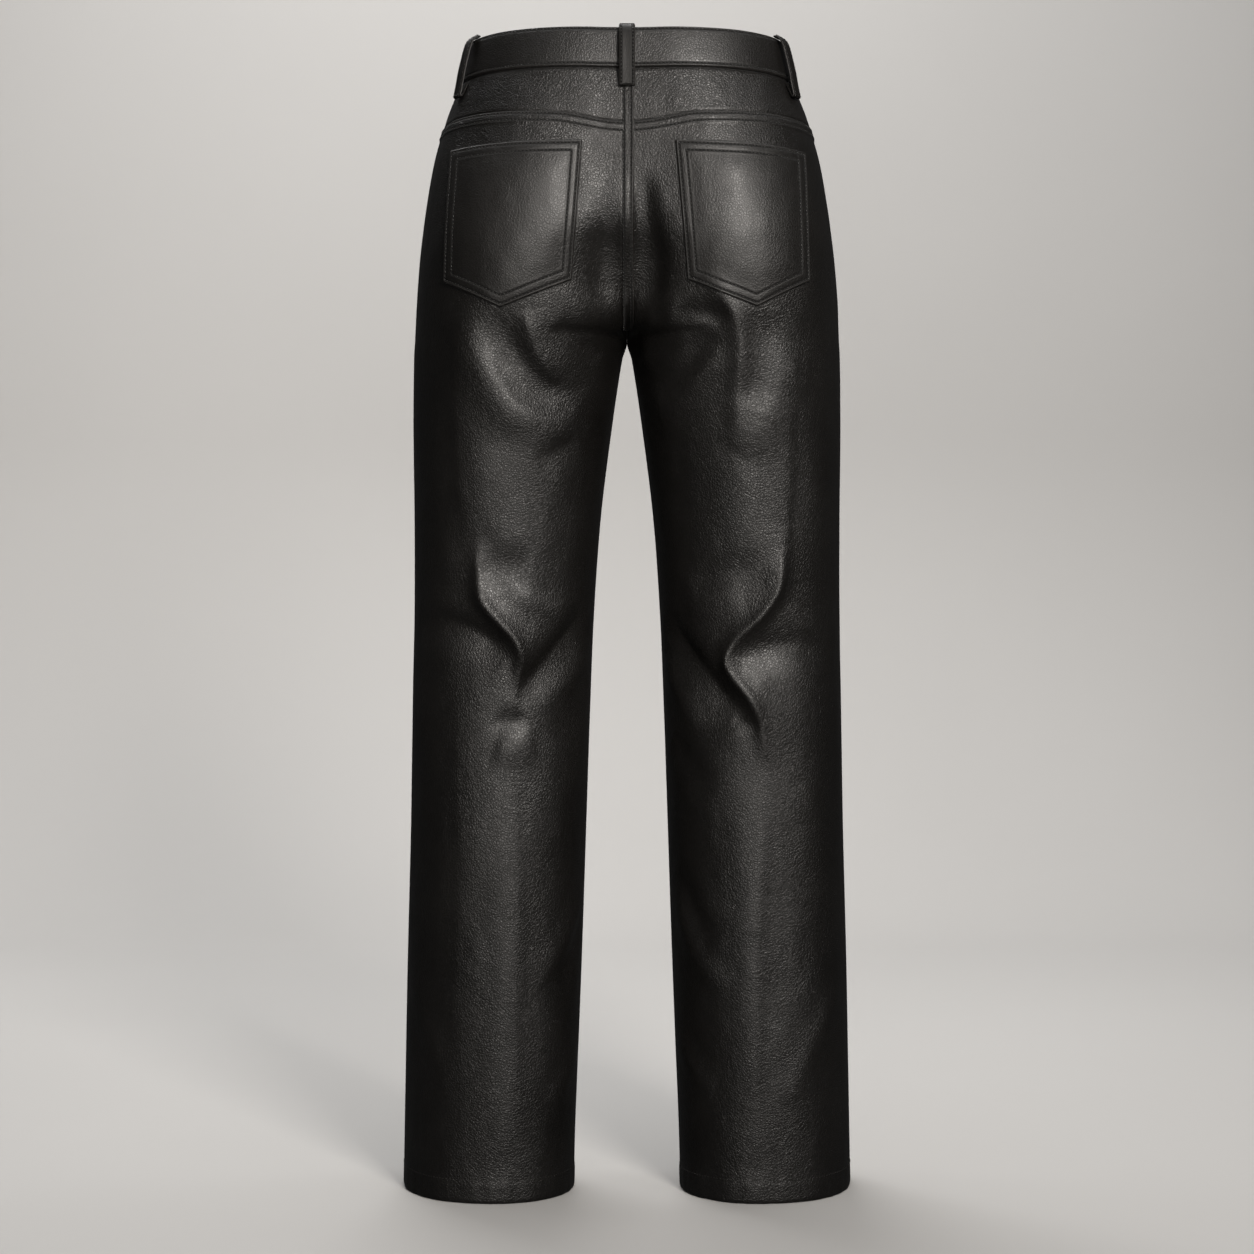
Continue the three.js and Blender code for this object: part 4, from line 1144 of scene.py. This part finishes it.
def inset_outline(outline, inset):
    """An outline's corners moved in by an inset, in flat millimetres."""
    outline = np.asarray(outline, float)
    middle = outline.mean(axis=0)
    lines = []
    for start, end in zip(outline, np.roll(outline, -1, axis=0)):
        run = (end - start) / np.linalg.norm(end - start)
        normal = np.array([-run[1], run[0]])
        if normal @ (middle - start) < 0:
            normal = -normal
        lines.append((start + normal * inset, run))
    corners = []
    for (p, r), (q, s) in zip([lines[-1], *lines[:-1]], lines):
        t = ((q - p)[0] * s[1] - (q - p)[1] * s[0]) / (r[0] * s[1] - r[1] * s[0])
        corners.append(p + t * r)
    return np.array(corners)


def pocket_row(side, start, end):
    flat = mix(np.asarray(start), np.asarray(end), np.linspace(0, 1, 40)[:, None])
    place = flat / (SEAT_WIDENING, 1)
    edge = edge_distance(flat, np.array(POCKETS[side], float) * (SEAT_WIDENING, 1))
    turn = turn_at(side, BACK, place[:, 0], place[:, 1])
    points, direction = skin(side, BACK, turn, place[:, 1])
    height = LEATHER + 0.5 + 1.1 * ease(edge / 28) + 0.4 * (1 - ease((edge - 9.6) / 2.5))
    return points + direction * (height - 0.22)[:, None]


def pocket_stitches():
    lines = []
    for side in (LEFT, RIGHT):
        outline = np.array(POCKETS[side], float) * (SEAT_WIDENING, 1)
        first, second = inset_outline(outline, 2.8), inset_outline(outline, 9.6)
        for corners in (first, second):
            for k in range(5):
                lines.append(pocket_row(side, corners[k], corners[(k + 1) % 5]))
        # the outer rows run on past the second pocket-mouth row to the very top
        for k, corner in ((0, second[0]), (1, second[1])):
            lines.append(pocket_row(side, corner, (corner[0], first[k][1])))
    along_lines("pocket_stitches", lines, **STITCH, material=THREAD, slot="leather")


def band_stitches():
    lines = []
    for inset, from_foot in ((2.6, True), (2.6, False)):
        row = []
        for side, face, turn, lift in band_stations():
            low, high = band_seam_level(face, turn), band_top_level(face, turn)
            level = low + inset if from_foot else high - inset
            share = (level - low) / (high - low)
            points = form(side, face, turn, level)
            direction = outward(side, face, turn, level)
            height = band_height(share) + lift + 0.35 * lattice_noise(points[None], 30.0, 9)[0] + 0.28
            row.append(points + direction * height)
        lines.append(np.array(row))
    along_lines("band_stitches", lines, **STITCH, material=THREAD, slot="band_leather")


BELT_LOOPS = [
    ("loop_back", RIGHT, BACK, -90.0),
    ("loop_side_left", LEFT, BACK, SIDE_LOOP_TURN),
    ("loop_side_right", RIGHT, BACK, SIDE_LOOP_TURN),
    ("loop_front_left", LEFT, FRONT, FRONT_LOOP_TURN),
    ("loop_front_right", RIGHT, FRONT, FRONT_LOOP_TURN),
]


def loop_stitches():
    rows = []
    tacks = []
    for _, side, face, turn in BELT_LOOPS:
        spine, across, facing = loop_spine(side, face, turn)
        bend = int(np.argmin(spine[:, 2]))
        for x in (-LOOP_WIDTH / 2 + 2.0, LOOP_WIDTH / 2 - 2.0):
            rows.append((spine + x * across + facing * (LOOP_STRIP / 2 + 0.1))[bend + 7:-12])
        for at in (bend + 9, len(spine) - 14):
            ends = [spine[at] + x * across + facing[at] * (LOOP_STRIP / 2 + 0.2) for x in (-6.2, 6.2)]
            tacks.append(np.array(ends))
    along_lines("loop_stitches", rows, **STITCH, material=THREAD, slot="band_leather")
    along_lines("loop_bar_tacks", tacks, pitch=0.62, length=0.9, radius=0.42, material=THREAD, slot="band_leather")


# ---- fly, zip and button ------------------------------------------------------------------------

ZIP_FOOT = 864.0
FLY_TOP = 1014.0


def front_strip(name, side, near, far, foot, depth, wall, material, slot, *nodes):
    """A flat strip behind one front, between two distances from the middle plane."""
    across, level = np.meshgrid(np.linspace(near, far, 12), np.linspace(foot, FLY_TOP, 60))
    points, direction = skin(side, FRONT, turn_at(side, FRONT, across, level), level)
    outer = points - direction * depth
    inner = points - direction * (depth + wall)
    piece = shell(name, outer, inner, [material, material], attributes={"edge": np.full(across.shape, 60.0)})
    return finish_piece(piece, slot, *nodes)


def fly():
    depth = LEATHER + SEAM
    tapes = []
    for side, word in ((LEFT, "left"), (RIGHT, "right")):
        tapes.append(front_strip(f"zip_tape_{word}_weave", side, 0.6, 13.0, ZIP_FOOT, depth + 0.1, 0.7, TAPE,
                                 "zip_tape", f"zip_tape_{word}"))
    shield = front_strip("fly_shield_leather", RIGHT, 0.6, 38.0, 860.0, depth + 1.4, LEATHER, HIDE, "leather",
                         "fly_shield")
    level = np.linspace(ZIP_FOOT + 2, FLY_TOP - 6, 80)
    teeth = []
    for side in (LEFT, RIGHT):
        turn = turn_at(side, FRONT, np.full(level.shape, 0.9), level)
        points, direction = skin(side, FRONT, turn, level)
        row = points - direction * (depth + 0.4)
        row[:, 2] += 0.6 * (side > 0)
        teeth.append(row)
    along_lines("zip_teeth", teeth, pitch=1.5, length=0.8, radius=0.85, material=METAL, slot="button_metal")
    return tapes, shield


def fly_stitches():
    """Two rows of topstitching that curve in to the foot of the fly, on the lapping front."""
    lines = []
    for gap in (0.0, 6.5):
        down = np.linspace(FLY_TOP + 1, 902, 60)
        straight = np.stack([np.full(60, 40.0 - gap), down], 1)
        angle = np.linspace(0, math.radians(86), 40)
        radius = np.array([39.0 - gap, 52.0 - gap])
        curve = np.array([1.0, 902.0]) + np.stack([np.cos(angle), -np.sin(angle)], 1) * radius
        path = np.concatenate([straight, curve[1:]])
        points, direction = skin(LEFT, FRONT, turn_at(LEFT, FRONT, path[:, 0], path[:, 1]), path[:, 1])
        lines.append(points + direction * 0.12)
    along_lines("fly_stitches", lines, **STITCH, material=THREAD, slot="leather")


def waist_button():
    low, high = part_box("waist_button")
    middle = (np.array(low) + np.array(high)) / 2 / MM
    base = low[1] / MM
    profile = [(0.0, 0.0), (3.4, 0.0), (3.4, 1.4), (8.0, 1.5), (8.45, 2.0), (8.5, 2.9), (8.1, 3.7), (7.4, 4.1),
               (6.7, 4.0), (6.2, 3.6), (5.6, 3.5), (4.4, 4.2), (2.4, 4.7), (0.0, 4.85)]
    path = np.array(profile)
    turns = np.linspace(0, 2 * np.pi, 49)[:-1]
    points = np.array([(middle[0] + r * np.cos(t), base + h, middle[2] + r * np.sin(t))
                       for r, h in path[1:-1] for t in turns])
    size = len(turns)
    faces = []
    for ring in range(len(path) - 3):
        for k in range(size):
            a, b = ring * size + k, ring * size + (k + 1) % size
            faces.append((a, b, b + size, a + size))
    faces.append(tuple(range(size)))
    faces.append(tuple(range((len(path) - 3) * size, (len(path) - 2) * size)))
    piece = mesh_object("waist_button_cap", points, faces, [METAL])
    bpy.context.view_layer.objects.active = piece
    piece.select_set(True)
    bpy.ops.object.mode_set(mode="EDIT")
    bpy.ops.mesh.select_all(action="SELECT")
    bpy.ops.mesh.normals_make_consistent(inside=False)
    bpy.ops.object.mode_set(mode="OBJECT")
    return finish_piece(piece, "button_metal", "waist_button")


# ---- the garment --------------------------------------------------------------------------------

legs = {(side, face): leg_panel(side, face) for side in (LEFT, RIGHT) for face in (BACK, FRONT)}
yokes = [yoke(side) for side in (LEFT, RIGHT)]
hems = [hem(side) for side in (LEFT, RIGHT)]
pockets = [pocket(side) for side in (LEFT, RIGHT)]
band = waistband()
loops = [belt_loop(*loop) for loop in BELT_LOOPS]
cover = seam_cover()
tapes, shield = fly()
panel_stitches()
cover_stitches()
pocket_stitches()
band_stitches()
loop_stitches()
fly_stitches()
waist_button()

# ---- studio -------------------------------------------------------------------------------------

FLOOR = -ORIGIN_LEVEL * MM - 0.0005
CAMERA_AWAY = 2.3
CAMERA_LEVEL = 518.7
FOCAL_SHARE = 2466 / 1254


def studio_material():
    material, tree, shader = empty_material("studio_paper")
    place = tree.nodes.new("ShaderNodeTexCoord").outputs["Object"]
    mottle = node(tree, "ShaderNodeTexNoise", Scale=1.3, Detail=2.0)
    link(tree, place, mottle.inputs["Vector"])
    link(tree, two_tone(tree, mottle.outputs["Fac"], (0.60, 0.592, 0.58), (0.64, 0.632, 0.62)), shader.inputs["Base Color"])
    shader.inputs["Roughness"].default_value = 0.8
    shader.inputs["Specular IOR Level"].default_value = 0.2
    return material


def studio():
    """A floor that curves up into a backdrop."""
    radius, back, wide, tall = 0.9, 2.6, 7.0, 4.5
    bend = [(back - radius + radius * math.sin(a), radius - radius * math.cos(a))
            for a in np.linspace(0, math.pi / 2, 24)]
    outline = [(-4.5, 0.0)] + bend + [(back, tall)]
    points = [(x, y, FLOOR + z) for y, z in outline for x in (-wide, wide)]
    faces = [(2 * i, 2 * i + 1, 2 * i + 3, 2 * i + 2) for i in range(len(outline) - 1)]
    paper = mesh_object("studio_floor", np.array(points) / MM, faces, [studio_material()])
    paper.visible_glossy = False


def soft_light(name, place, aim, size, power, colour):
    data = bpy.data.lights.new(name, "AREA")
    data.shape = "RECTANGLE"
    data.size, data.size_y = size
    data.energy = power
    data.color = colour
    lamp = bpy.data.objects.new(name, data)
    bpy.context.scene.collection.objects.link(lamp)
    lamp.location = place
    away = np.array(aim, float) - np.array(place, float)
    lamp.rotation_euler = (math.atan2(math.hypot(away[0], away[1]), -away[2]), 0, math.atan2(away[0], -away[1]) + math.pi)
    return lamp


def lights():
    warm = (1, 0.95, 0.895)
    plain = (1, 0.99, 0.98)
    key = soft_light("key", (0.95, -2.6, 0.8), (0, 0, 0.0), (0.7, 1.3), 12.5, warm)
    key.data.spread = math.radians(70)
    soft_light("broad_fill", (0.0, -3.0, -0.55), (0.0, 0, -0.55), (1.4, 1.0), 17, warm)
    soft_light("upper_fill", (0.9, -2.6, 1.3), (0, 0, -0.2), (1.0, 1.1), 6, warm)
    soft_light("front_fill", (-0.5, 1.7, 2.2), (0, 0, -0.7), (1.6, 1.0), 46, plain)
    soft_light("backdrop_wash", (0, 0.6, 2.3), (0, 2.6, -0.2), (3.6, 0.8), 28, plain)
    soft_light("floor_wash", (0, -0.4, 3.0), (0, 0.0, -1.0), (3.0, 2.4), 33, plain)
    world = bpy.data.worlds.new("studio_air")
    bpy.context.scene.world = world
    world.use_nodes = True
    tree = world.node_tree
    air = tree.nodes["Background"]
    air.inputs["Strength"].default_value = 1.0
    seen = tree.nodes.new("ShaderNodeLightPath").outputs["Is Camera Ray"]
    link(tree, two_tone(tree, seen, (0.03, 0.03, 0.03), (0.55, 0.54, 0.52)), air.inputs["Color"])
    bpy.context.scene.view_settings.view_transform = "Standard"


def camera():
    data = bpy.data.cameras.new("camera")
    data.sensor_width = 36
    data.lens = 36 * FOCAL_SHARE
    data.clip_end = 50
    eye = bpy.data.objects.new("camera", data)
    bpy.context.scene.collection.objects.link(eye)
    eye.location = (0, -CAMERA_AWAY, (CAMERA_LEVEL - ORIGIN_LEVEL) * MM)
    eye.rotation_euler = (math.pi / 2, 0, 0)
    bpy.context.scene.camera = eye


studio()
lights()
camera()
